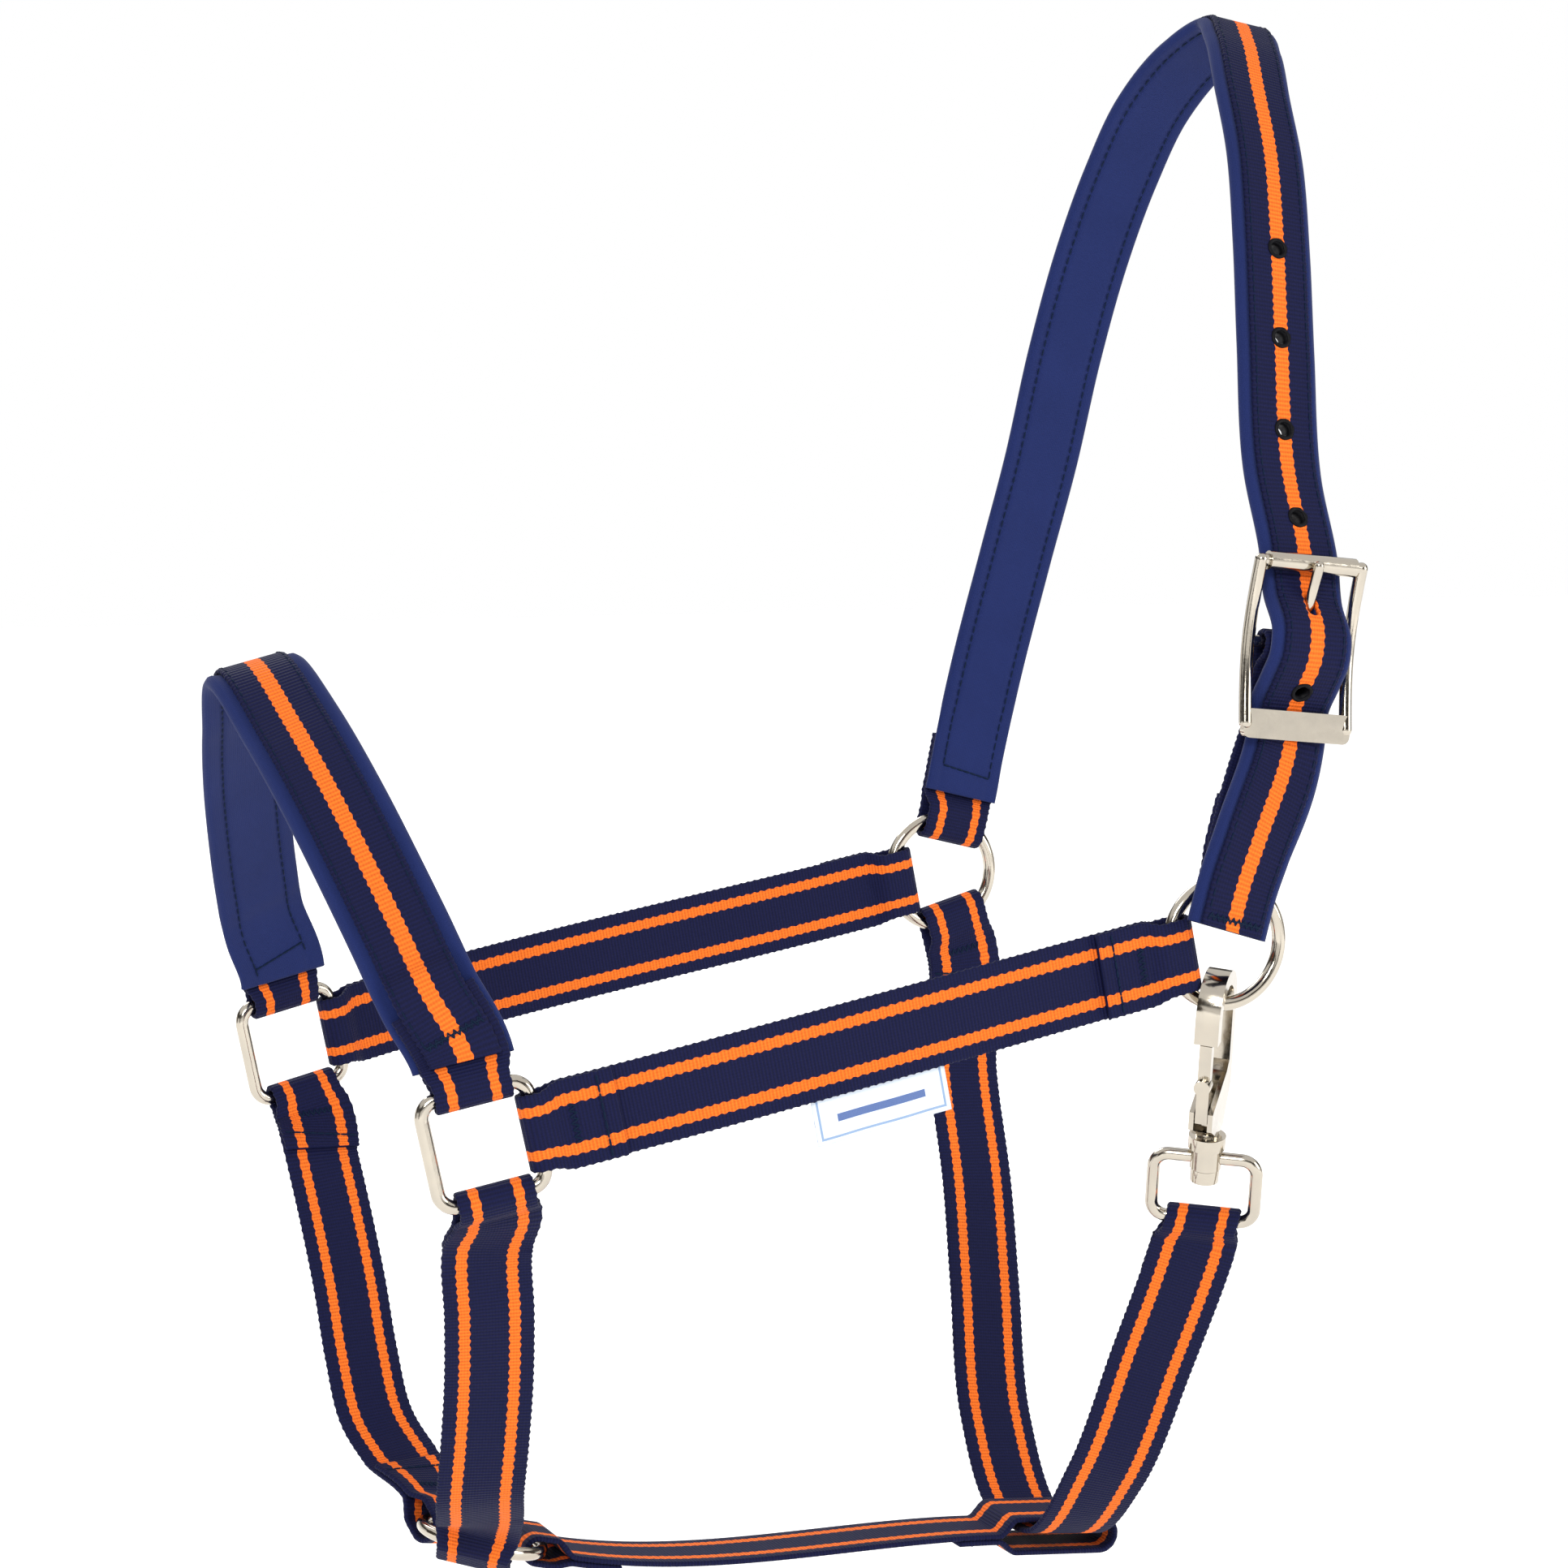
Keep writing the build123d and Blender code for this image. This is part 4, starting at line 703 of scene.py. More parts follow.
def resampled(stations):
    """Evenly spaced sections (centre, across, normal, width, thickness) of a strap."""
    full = []
    last = len(stations) - 1
    for index, (centre, across, outward, width, thickness) in enumerate(stations):
        before = stations[max(index - 1, 0)][0]
        after = stations[min(index + 1, last)][0]
        normal = across.cross((after - before).normalized()).normalized() if outward is None else outward
        if index:
            normal = facing(normal, full[-1][2])
        full.append((centre, across, normal, width, thickness))
    travelled = distances(full)
    count = max(2, round(travelled[-1] / SECTION_PITCH))
    sections = []
    index = 0
    for step in range(count + 1):
        reach = travelled[-1] * step / count
        while index < last - 1 and travelled[index + 1] < reach:
            index += 1
        span = max(travelled[index + 1] - travelled[index], 1e-6)
        share = min(1.0, (reach - travelled[index]) / span)
        sections.append(blended(full[index], full[index + 1], share))
    return sections


def webbing_outline(reach, width, thickness):
    """Cross-section of webbing as (across, height, share across), round its edge once."""
    bead = SCALLOP_DEPTH * sin(2 * pi * reach / SCALLOP_PITCH)
    edge = thickness * WEB_EDGE
    half = width / 2 - edge
    points = []
    for side in (1, -1):
        for column in range(WEB_COLUMNS + 1):
            share = side * (1 - 2 * column / WEB_COLUMNS)
            points.append((-share * half, side * thickness / 2))
        for angle in (60, 20, -20, -60):
            cosine, sine = turned(angle)
            points.append((side * (half + (edge + bead) * cosine), side * sine * thickness / 2))
    return [(across, height, max(-1.0, min(1.0, across / (width / 2)))) for across, height in points]


def padding_outline(reach, width, thickness):
    """Cross-section of padding, drawn in along its stitch lines and puffed up beside the trim.

    It is the same at every reach: only webbing has beads along its edge.
    """
    edge = min(PAD_EDGE, thickness * 0.48)
    half = width / 2 - edge
    points = []
    for side in (1, -1):
        for column in range(PAD_COLUMNS + 1):
            across = side * half * (2 * column / PAD_COLUMNS - 1)
            groove = GROOVE_DEPTH * exp(-(((abs(across) - TRIM_STITCH_PLACE) / GROOVE_WIDTH) ** 2))
            if side > 0:
                puff = exp(-(((abs(across) - half + PUFF_INSET) / PUFF_WIDTH) ** 2))
                height = thickness / 2 + PUFF_HEIGHT * puff
            else:
                height = -(thickness / 2 - groove * min(1.0, thickness / PAD_THICKNESS))
            points.append((across, height))
        for angle in (65, 35, 0, -35, -65):
            cosine, sine = turned(angle)
            points.append((side * (half + edge * cosine), side * sine * thickness / 2))
    return [(across, height, across / (width / 2)) for across, height in points]


def made(name, points, faces, materials, body, uvs=None, material_indices=None):
    """Mesh object that rides on a body. Without a body it belongs to the studio or is a cutter."""
    mesh = bpy.data.meshes.new(name)
    mesh.from_pydata([point * MILLIMETRE for point in points], [], faces)
    if uvs:
        layer = mesh.uv_layers.new(name="UVMap")
        for loop in mesh.loops:
            layer.data[loop.index].uv = uvs[loop.vertex_index]
    for material in materials:
        mesh.materials.append(material)
    for polygon in mesh.polygons:
        polygon.use_smooth = True
        if material_indices:
            polygon.material_index = material_indices[polygon.index]
    mesh.update()
    piece = bpy.data.objects.new(name, mesh)
    bpy.context.scene.collection.objects.link(piece)
    if body:
        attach(piece, body)
    return piece


def skin(faces, start, rings, around, closed=False):
    """Faces between rings of points that follow each other from start."""
    for ring in range(rings if closed else rings - 1):
        low = start + ring * around
        high = start + (ring + 1) % rings * around
        for step in range(around):
            following = (step + 1) % around
            faces.append((low + step, low + following, high + following, high + step))


def end_caps(faces, start, rings, around):
    """Faces that close the first and the last ring."""
    faces.append(tuple(range(start + around - 1, start - 1, -1)))
    faces.append(tuple(range(start + (rings - 1) * around, start + rings * around)))


def ribbon(name, sections, outline, nominal, materials):
    """Strap through its sections. The map holds millimetres: along the strap, and across it."""
    points, uvs, faces = [], [], []
    for (centre, across, normal, width, thickness), reach in zip(sections, distances(sections)):
        for out, height, share in outline(reach, width, thickness):
            points.append(centre + across * out + normal * height)
            uvs.append((reach, share * nominal / 2))
    around = len(points) // len(sections)
    skin(faces, 0, len(sections), around)
    indices = [0] * len(faces) + [1, 1]
    end_caps(faces, 0, len(sections), around)
    piece = made(name, points, faces, materials, HARNESS, uvs, indices)
    face_out(piece)
    return piece


def face_out(piece):
    """Turns the faces of a closed mesh outward."""
    mesh = piece.data
    volume = 0.0
    for polygon in mesh.polygons:
        corners = [mesh.vertices[index].co for index in polygon.vertices]
        for second, third in zip(corners[1:], corners[2:]):
            volume += corners[0].dot(second.cross(third))
    if volume < 0:
        mesh.flip_normals()


def place_on(sections, reach, distance, side, lift):
    """Point, along, across and normal on a strap's face, at a distance from its middle line."""
    step = (sections[1][0] - sections[0][0]).length
    position = max(0.0, min(len(sections) - 1.001, reach / step))
    index = floor(position)
    share = position - index
    first, second = sections[index], sections[index + 1]
    centre, across, normal, _, thickness = blended(first, second, share)
    point = centre + across * distance + normal * (side * (thickness / 2 + lift))
    return point, (second[0] - first[0]).normalized(), across, normal * side


# Thread swells and thins along a stitch: (share of its length, share of its radius).
STITCH_PROFILE = [(-0.5, 0.25), (-0.36, 0.85), (0.0, 1.0), (0.36, 0.85), (0.5, 0.25)]
STITCH_SIDES = 6


def add_stitch(points, faces, centre, along, normal, length, radius):
    """One stitch of thread: a short spindle lying on the cloth."""
    side = along.cross(normal).normalized()
    start = len(points)
    for share, swell in STITCH_PROFILE:
        for step in range(STITCH_SIDES):
            cosine, sine = turned(360 * step / STITCH_SIDES)
            ring = side * (cosine * radius * swell) + normal * (sine * radius * swell)
            points.append(centre + along * (share * length) + ring)
    skin(faces, start, len(STITCH_PROFILE), STITCH_SIDES)
    end_caps(faces, start, len(STITCH_PROFILE), STITCH_SIDES)


def stitch_row(points, faces, sections, start, end, distance, side):
    """Stitches along a strap at a distance from its middle line."""
    count = max(1, round((end - start) / STITCH_PITCH))
    for index in range(count):
        reach = start + (end - start) * (index + 0.5) / count
        point, along, _, normal = place_on(sections, reach, distance, side, THREAD_LIFT)
        add_stitch(points, faces, point, along, normal, STITCH_LENGTH, STITCH_RADIUS)


# Sewing across a strap: (pitch, zigzag along the strap, share across it, lift, length, radius).
CROSS_ROW = (2.6, 0.0, 1.0, 0.08, 2.5, 0.34)
BARTACK = (0.9, 1.0, 0.45, 0.1, 2.6, 0.26)


def sew_across(points, faces, sections, reach, half_width, side, kind):
    """Stitches across a strap, in a straight row or a dense zigzag."""
    pitch, zigzag, straight, lift, length, radius = kind
    count = round(2 * half_width / pitch)
    for index in range(count):
        distance = half_width * (2 * (index + 0.5) / count - 1)
        point, along, across, normal = place_on(sections, reach, distance, side, lift)
        slant = along * (zigzag if index % 2 else -zigzag) + across * straight
        add_stitch(points, faces, point, slant.normalized(), normal, length, radius)


# ---- Materials ----------------------------------------------------------------------------------
NAVY = (0.0036, 0.0052, 0.040, 1)
ORANGE = (0.95, 0.17, 0.015, 1)
PAD_NAVY = (0.0105, 0.0195, 0.094, 1)
THREAD = (0.0015, 0.0075, 0.024, 1)
CORE = (0.012, 0.014, 0.022, 1)
MELTED = (0.002, 0.002, 0.003, 1)
CUT_END = (0.003, 0.005, 0.03, 1)
NICKEL_LIGHT = (0.60, 0.54, 0.44, 1)
NICKEL_DARK = (0.46, 0.42, 0.36, 1)
LABEL_WHITE = (0.72, 0.79, 0.88, 1)
LABEL_BORDER = (0.25, 0.36, 0.55, 1)
LABEL_BAR = (0.08, 0.14, 0.34, 1)


class Nodes:
    """Small helper to write a node tree from inputs to outputs."""

    def __init__(self, name):
        self.material = bpy.data.materials.new(name)
        self.material.use_nodes = True
        self.tree = self.material.node_tree
        self.shader = self.tree.nodes["Principled BSDF"]

    def link(self, value, socket):
        if isinstance(value, bpy.types.NodeSocket):
            self.tree.links.new(value, socket)
        else:
            socket.default_value = value

    def math(self, operation, first, second=0.0):
        node = self.tree.nodes.new("ShaderNodeMath")
        node.operation = operation
        self.link(first, node.inputs[0])
        self.link(second, node.inputs[1])
        return node.outputs[0]

    def map(self):
        """Distances along and across a strap, in millimetres."""
        node = self.tree.nodes.new("ShaderNodeUVMap")
        node.uv_map = "UVMap"
        split = self.tree.nodes.new("ShaderNodeSeparateXYZ")
        self.tree.links.new(node.outputs[0], split.inputs[0])
        return split.outputs[0], split.outputs[1], node.outputs[0]

    def place(self):
        node = self.tree.nodes.new("ShaderNodeTexCoord")
        return node.outputs["Object"]

    def noise(self, vector, scale, detail=2.0):
        node = self.tree.nodes.new("ShaderNodeTexNoise")
        node.inputs["Scale"].default_value = scale
        node.inputs["Detail"].default_value = detail
        self.tree.links.new(vector, node.inputs["Vector"])
        return node.outputs[0]

    def wave(self, value, pitch):
        """Sine of a distance, between 0 and 1."""
        angle = self.math("MULTIPLY", value, 2 * pi / pitch)
        return self.math("MULTIPLY_ADD", self.math("SINE", angle), 0.5)

    def mix(self, share, first, second, kind="MIX"):
        node = self.tree.nodes.new("ShaderNodeMix")
        node.data_type = "RGBA"
        node.blend_type = kind
        self.link(share, node.inputs[0])
        self.link(first, node.inputs[6])
        self.link(second, node.inputs[7])
        return node.outputs[2]

    def ramp(self, value, low, high):
        """Maps 0 to 1 onto low to high."""
        node = self.tree.nodes.new("ShaderNodeMapRange")
        self.link(value, node.inputs[0])
        node.inputs[3].default_value = low
        node.inputs[4].default_value = high
        return node.outputs[0]

    def shaded(self, colour, shade):
        """The colour times a number."""
        grey = self.tree.nodes.new("ShaderNodeCombineColor")
        for channel in range(3):
            self.link(shade, grey.inputs[channel])
        return self.mix(1.0, colour, grey.outputs[0], "MULTIPLY")

    def bump(self, height, distance, strength):
        node = self.tree.nodes.new("ShaderNodeBump")
        node.inputs["Distance"].default_value = distance
        node.inputs["Strength"].default_value = strength
        self.tree.links.new(height, node.inputs["Height"])
        self.tree.links.new(node.outputs[0], self.shader.inputs["Normal"])

    def set(self, **values):
        for name, value in values.items():
            self.link(value, self.shader.inputs[name.replace("_", " ")])


def webbing_material(name, stripe_centre, stripe_half, rib_pitch):
    """Ribbed nylon webbing with orange stripes whose edges are scalloped by the weave, with painted shade in
    the rib valleys and a faint painted highlight on the ridges.
    """
    nodes = Nodes(name)
    along, across, both = nodes.map()
    drift = nodes.math("MULTIPLY", nodes.noise(both, 0.12, 1.0), 6.0)
    angle = nodes.math("MULTIPLY_ADD", along, 2 * pi / STRIPE_PITCH)
    nodes.link(drift, angle.node.inputs[2])
    scallop = nodes.math("MULTIPLY", nodes.math("SINE", angle), STRIPE_WAVE)
    distance = nodes.math("ABSOLUTE", nodes.math("SUBTRACT", nodes.math("ABSOLUTE", across), stripe_centre))
    stripe = nodes.math("LESS_THAN", nodes.math("ADD", distance, scallop), stripe_half)
    colour = nodes.mix(stripe, NAVY, ORANGE)
    rib = nodes.wave(along, rib_pitch)
    warp = nodes.wave(across, 0.85)
    threads = nodes.math("ADD", nodes.math("MULTIPLY", rib, 0.75), nodes.math("MULTIPLY", warp, 0.25))
    # Painted shade and highlight: the colour is darkened in the rib and warp valleys and a little lightened
    # on the ridges, following the bump's height.
    painted_rib_shading = nodes.ramp(threads, 0.62, 1.12)
    speckle = nodes.ramp(nodes.noise(both, 1.4, 3.0), 0.8, 1.2)
    # The stripes' colour times the painted rib shade and highlight and a random speckle.
    colour = nodes.shaded(colour, nodes.math("MULTIPLY", painted_rib_shading, speckle))
    nodes.set(Base_Color=colour, Sheen_Weight=0.03, Sheen_Roughness=0.4, Specular_IOR_Level=0.16)
    nodes.set(Roughness=nodes.ramp(speckle, 0.5, 0.72))
    nodes.bump(threads, 0.00022, 0.9)
    return nodes.material


def padding_material():
    """Fine knit over soft foam."""
    nodes = Nodes("padding_knit")
    along, across, both = nodes.map()
    knit = nodes.math("MULTIPLY", nodes.wave(along, 0.55), nodes.wave(across, 0.45))
    cloud = nodes.ramp(nodes.noise(nodes.place(), 60.0, 4.0), 0.88, 1.12)
    fleck = nodes.ramp(nodes.noise(both, 2.2, 2.0), 0.9, 1.1)
    colour = nodes.shaded(PAD_NAVY, nodes.math("MULTIPLY", cloud, fleck))
    nodes.set(Base_Color=colour, Sheen_Weight=0.07, Sheen_Roughness=0.5, Specular_IOR_Level=0.14)
    nodes.set(Roughness=nodes.ramp(fleck, 0.78, 0.92))
    nodes.bump(knit, 0.00008, 0.8)
    return nodes.material


def fibre_material(name, colour, roughness, scale):
    """Thread, cut foam and melted nylon: one colour, mottled, with a grain."""
    nodes = Nodes(name)
    grain = nodes.noise(nodes.place(), scale, 4.0)
    light = tuple(channel * 1.6 for channel in colour[:3]) + (1,)
    nodes.set(Base_Color=nodes.mix(grain, colour, light), Specular_IOR_Level=0.12)
    nodes.set(Roughness=nodes.ramp(grain, roughness - 0.1, roughness + 0.1))
    nodes.bump(grain, 0.0001, 0.6)
    return nodes.material


def nickel_material():
    """Polished warm nickel plate, with faint polishing marks and slight waviness."""
    nodes = Nodes("polished_nickel")
    place = nodes.place()
    marks = nodes.noise(place, 900.0, 2.0)
    waves = nodes.noise(place, 110.0, 2.0)
    tone = nodes.mix(waves, NICKEL_LIGHT, NICKEL_DARK)
    nodes.set(Base_Color=tone, Metallic=1.0, Roughness=nodes.ramp(marks, 0.06, 0.2))
    nodes.bump(waves, 0.00025, 0.35)
    return nodes.material


def label_material():
    """White woven tag with a pale border and one plain bar, and nothing to read."""
    nodes = Nodes("woven_label")
    along, across, both = nodes.map()
    from_edge = nodes.math("SUBTRACT", LABEL_LENGTH / 2 - 1.6, nodes.math("ABSOLUTE", along))
    from_side = nodes.math("SUBTRACT", LABEL_HEIGHT / 2 - 1.6, nodes.math("ABSOLUTE", across))
    border = nodes.math("ABSOLUTE", nodes.math("MINIMUM", from_edge, from_side))
    border = nodes.math("LESS_THAN", border, 0.35)
    bar = nodes.math("LESS_THAN", nodes.math("ABSOLUTE", nodes.math("ADD", across, 1.8)), 1.1)
    inner = nodes.math("LESS_THAN", nodes.math("ABSOLUTE", along), LABEL_LENGTH * 0.33)
    bar = nodes.math("MULTIPLY", bar, inner)
    colour = nodes.mix(border, LABEL_WHITE, LABEL_BORDER)
    colour = nodes.mix(bar, colour, LABEL_BAR)
    weave = nodes.math("MULTIPLY", nodes.wave(along, 0.5), nodes.wave(across, 0.5))
    nodes.set(Base_Color=colour, Roughness=nodes.ramp(weave, 0.4, 0.6), Sheen_Weight=0.1)
    nodes.bump(weave, 0.00005, 0.6)
    return nodes.material


wide_webbing = webbing_material("striped_webbing", 7.0, 1.55, 1.05)
trim_webbing = webbing_material("trim_webbing", 0.0, 2.25, 1.3)
padding_knit = padding_material()
thread = fibre_material("sewing_thread", THREAD, 0.6, 1500.0)
foam_core = fibre_material("cut_foam", CORE, 0.85, 700.0)
melted = fibre_material("melted_nylon", MELTED, 0.5, 500.0)
cut_end = fibre_material("cut_webbing", CUT_END, 0.8, 900.0)
nickel = nickel_material()
label_cloth = label_material()


# ---- Plain straps -------------------------------------------------------------------------------
# Sewing of a folded end: (share of the flap, half the width, kind of sewing).
FOLD_SEWING = [(0.3, WEB_WIDTH / 2 - 1.0, CROSS_ROW), (0.85, WEB_WIDTH * 0.22, BARTACK)]


def strap_length(sections):
    """Length that place_on counts in: the first step, times the number of steps."""
    return (sections[1][0] - sections[0][0]).length * (len(sections) - 1)


def fold_seams(points, faces, sections):
    """Sewing of the two folded ends: rows across the strap and a bartack, on both faces."""
    total = strap_length(sections)
    for share, half_width, kind in FOLD_SEWING:
        for reach in (FLAP_LENGTH * share, total - FLAP_LENGTH * share):
            for side in (1, -1):
                sew_across(points, faces, sections, reach, half_width, side, kind)


def webbing_piece(name, stations, node):
    sections = resampled(stations)
    piece = ribbon(name, sections, webbing_outline, WEB_WIDTH, [wide_webbing, cut_end])
    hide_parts(node)
    return sections


def plain_strap(name, stations, node):
    sections = webbing_piece(name, stations, node)
    points, faces = [], []
    fold_seams(points, faces, sections)
    made(name + "_stitches", points, faces, [thread], HARNESS)


for side, word in ((NEAR, "near"), (FAR, "far")):
    plain_strap(word + "_cheek_webbing", webbing_strap(*cheek_parts(side)), word + "_cheek_strap")
    plain_strap(word + "_drop_webbing", drop_strap(side), word + "_drop_strap")
plain_strap("jaw_webbing", jaw_strap(), "jaw_strap")
plain_strap("throat_webbing", throat_strap(), "throat_strap")
plain_strap("buckle_webbing", buckle_strap(), "buckle_strap")


# ---- Padded straps ------------------------------------------------------------------------------
SEWN_LOOP_END = 8.0         # cross seam from a padded strap's end, over the tails of a loop
SEWN_FREE_END = 3.0         # and at a loose end
SEWN_ROW_END = 5.0          # where the long rows stop


def padded_strap(name, frames, start_tail, end_tail, pad_width):
    """Padding, trim and their stitches."""
    pad_sections = resampled(layer_stations(frames, start_tail, end_tail, pad_width))
    trim_sections = resampled(layer_stations(frames, start_tail, end_tail, None))
    pad_cloth = [padding_knit, foam_core]
    pad = ribbon(name + "_pad", pad_sections, padding_outline, pad_width, pad_cloth)
    trim_cloth = [trim_webbing, cut_end]
    trim = ribbon(name + "_trim", trim_sections, webbing_outline, TRIM_WIDTH, trim_cloth)
    points, faces = [], []
    for sections, side in ((trim_sections, 1), (pad_sections, -1)):
        total = strap_length(sections)
        for distance in (-TRIM_STITCH_PLACE, TRIM_STITCH_PLACE):
            stitch_row(points, faces, sections, SEWN_LOOP_END, total - SEWN_ROW_END, distance, side)
        first = SEWN_LOOP_END if start_tail else SEWN_FREE_END
        last = SEWN_LOOP_END if end_tail else SEWN_FREE_END
        for reach in (first, total - last):
            for kind in (CROSS_ROW, BARTACK) if side > 0 else (CROSS_ROW,):
                sew_across(points, faces, sections, reach, TRIM_STITCH_PLACE, side, kind)
    made(name + "_stitches", points, faces, [thread], HARNESS)
    return pad, trim


nose_start, nose_end, nose_frames = noseband_parts()
nose_pad, nose_trim = padded_strap("noseband", nose_frames, LOOP_TAIL, LOOP_TAIL, NOSE_PAD_WIDTH)
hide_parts("noseband_padding")
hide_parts("noseband_webbing")
webbing_piece("noseband_near_loop_webbing", short_loop(nose_start, nose_frames), "noseband_near_loop")
webbing_piece("noseband_far_loop_webbing", short_loop(nose_end, nose_frames[::-1]), "noseband_far_loop")

crown_start, crown_frames = crown_parts()
crown_pad, crown_trim = padded_strap("crown", crown_frames, LOOP_TAIL, 0, CROWN_PAD_WIDTH)
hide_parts("crown_padding")
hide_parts("crown_webbing")
webbing_piece("crown_far_loop_webbing", short_loop(crown_start, crown_frames), "crown_far_loop")


# ---- Punched holes ------------------------------------------------------------------------------
CUTTER_SIDES = 24


def spokes(axis, around):
    """Unit directions at right angles to an axis, evenly round it."""
    first = axis.orthogonal().normalized()
    second = axis.cross(first).normalized()
    directions = []
    for step in range(around):
        cosine, sine = turned(360 * step / around)
        directions.append(first * cosine + second * sine)
    return directions


def tube_between(name, centre, axis, radius, length):
    """Closed cylinder, used as a cutter."""
    points, faces = [], []
    for end in (-0.5, 0.5):
        for spoke in spokes(axis, CUTTER_SIDES):
            points.append(centre + axis * (end * length) + spoke * radius)
    end_caps(faces, 0, 2, CUTTER_SIDES)
    skin(faces, 0, 2, CUTTER_SIDES)
    piece = made(name, points, faces, [melted], None)
    face_out(piece)
    return piece


def hole_places():
    reaches = [HOLE_PITCH * step for step in range(1, HOLES_ABOVE_TONGUE + 1)] + [-HOLE_PITCH * 0.96]
    return [hole_place(crown_frames, reach) for reach in reaches]


def tongue_cutters():
    pivot = buckle_point(0, 0, -BUCKLE_SET_BACK)
    rest = (tongue_tip() - pivot).normalized()
    cutters = []
    for index, share in enumerate((0.0, 0.5, 1.0)):
        turn = Matrix.Rotation(radians(TONGUE_SWING * share), 3, BUCKLE_ACROSS)
        direction = turn @ rest
        centre = pivot + direction * (TONGUE_CROSSING + 2)
        radius = TONGUE_RADIUS + STRAP_RUB + 0.01 * index
        cutters.append(tube_between(f"slot_cutter_{index}", centre, direction, radius, 22))
    return cutters


def punched(pieces):
    cutters = tongue_cutters()
    for index, (point, outward) in enumerate(hole_places()):
        cutters.append(tube_between(f"hole_cutter_{index}", point, outward, HOLE_RADIUS, 16))
    for piece in pieces:
        for cutter in cutters:
            modifier = piece.modifiers.new(cutter.name, "BOOLEAN")
            modifier.operation = "DIFFERENCE"
            modifier.solver = "EXACT"
            modifier.object = cutter
        bpy.context.view_layer.update()
        shaped = piece.evaluated_get(bpy.context.evaluated_depsgraph_get())
        mesh = bpy.data.meshes.new_from_object(shaped)
        piece.modifiers.clear()
        piece.data = mesh
    for cutter in cutters:
        bpy.data.objects.remove(cutter)


RIM_STEPS = 28
# Melted lining of a punched hole, as (radius, height) corners of its cross-section.
LINING = [(HOLE_RADIUS - 0.5, STACK_OUTER), (HOLE_RADIUS - 0.5, -STACK_INNER),
          (HOLE_RADIUS + 0.05, -STACK_INNER), (HOLE_RADIUS + 0.05, STACK_OUTER)]


def rim_profile(step):
    """Uneven melted bead on the trim's face round a hole, as (radius, height) corners."""
    swell = 0.62 + 0.12 * sin(3.0 * step) * cos(1.7 * step)
    corners = []
    for angle in range(0, 360, 45):
        across, rise = turned(angle)
        corners.append((HOLE_RADIUS + 0.1 + across * swell, STACK_OUTER + 0.02 + rise * swell * 0.7))
    return corners


def hole_rims():
    """Melted rims and linings of the punched holes."""
    points, faces = [], []
    for point, outward in hole_places():
        directions = spokes(outward, RIM_STEPS)
        for profiles in ([rim_profile(step) for step in range(RIM_STEPS)], [LINING] * RIM_STEPS):
            start = len(points)
            for spoke, profile in zip(directions, profiles):
                points += [point + spoke * radius + outward * height for radius, height in profile]
            skin(faces, start, RIM_STEPS, len(profiles[0]), closed=True)
    piece = made("crown_hole_rims", points, faces, [melted], HARNESS)
    face_out(piece)


punched([crown_pad, crown_trim])
hole_rims()


# ---- Label --------------------------------------------------------------------------------------
LABEL_COLUMNS = 28
LABEL_ROWS = 12
LABEL_SEWN_ROWS = 3         # rows held flat behind the strap
LABEL_CURL = 0.25           # wave of the free edge


def label_piece():
    _, _, frames = cheek_parts(NEAR)
    point, across, outward = frames[round(LABEL_PLACE * (len(frames) - 1))]
    along = across.cross(outward).normalized()
    inset = WEB_THICKNESS / 2 + 2 * LAYER_GAP + LABEL_THICKNESS / 2
    middle = point - across * (WEB_WIDTH / 2 + LABEL_HEIGHT / 2 - LABEL_TUCK) - outward * inset
    columns, rows = LABEL_COLUMNS, LABEL_ROWS
    points, uvs, faces = [], [], []
    for face_side in (1, -1):
        for row in range(rows + 1):
            for column in range(columns + 1):
                reach = LABEL_LENGTH * (column / columns - 0.5)
                rise = LABEL_HEIGHT * (row / rows - 0.5)
                free = 0.0 if row > rows - LABEL_SEWN_ROWS else 1 - row / rows
                curl = LABEL_CURL * sin(column * 0.45) * free
                height = face_side * LABEL_THICKNESS * 0.35 + curl
                points.append(middle + along * reach + across * rise + outward * height)
                uvs.append((reach * face_side, rise))
    size = (rows + 1) * (columns + 1)
    for row in range(rows):
        for column in range(columns):
            low = row * (columns + 1) + column
            high = low + columns + 1
            faces.append((low, low + 1, high + 1, high))
            faces.append((size + low, size + high, size + high + 1, size + low + 1))
    border = [column for column in range(columns)]
    border += [row * (columns + 1) + columns for row in range(rows)]
    border += [rows * (columns + 1) + column for column in range(columns, 0, -1)]
    border += [row * (columns + 1) for row in range(rows, 0, -1)]
    for first, second in zip(border, border[1:] + border[:1]):
        faces.append((first, size + first, size + second, second))
    piece = made("size_label_cloth", points, faces, [label_cloth], HARNESS, uvs)
    face_out(piece)
    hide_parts("size_label")


label_piece()


# ---- Metal parts --------------------------------------------------------------------------------
METAL_NODES = [
    "near_round_ring", "far_round_ring", "chin_ring", "near_square_ring", "far_square_ring",
    "buckle_frame", "buckle_roller", "buckle_tongue", "snap_body", "snap_gate", "snap_gate_pin",
    "snap_gate_spring", "swivel_loop",
]
CAST_NODES = {"snap_body": 0.9, "snap_gate": 0.4}


def rounded_edges(piece, width):
    """Softens the edges of a cast piece without touching its mesh."""
    weld = piece.modifiers.new("weld", "WELD")
    weld.merge_threshold = 0.00001
    bevel = piece.modifiers.new("rounding", "BEVEL")
    bevel.width = width * MILLIMETRE
    bevel.segments = 4
    bevel.limit_method = "ANGLE"
    bevel.angle_limit = radians(35)
    bevel.harden_normals = True


for node in METAL_NODES:
    piece = frame["nodes"][node]
    if node in CAST_NODES:
        rounded_edges(piece, CAST_NODES[node])
    if not piece.data.materials:
        piece.data.materials.append(nickel)
    for place in piece.material_slots:
        place.material = nickel


# ---- Floor, light and camera --------------------------------------------------------------------
FLOOR_GAP = 30.0            # floor below the hanging halter
FLOOR_HALF = 6000.0


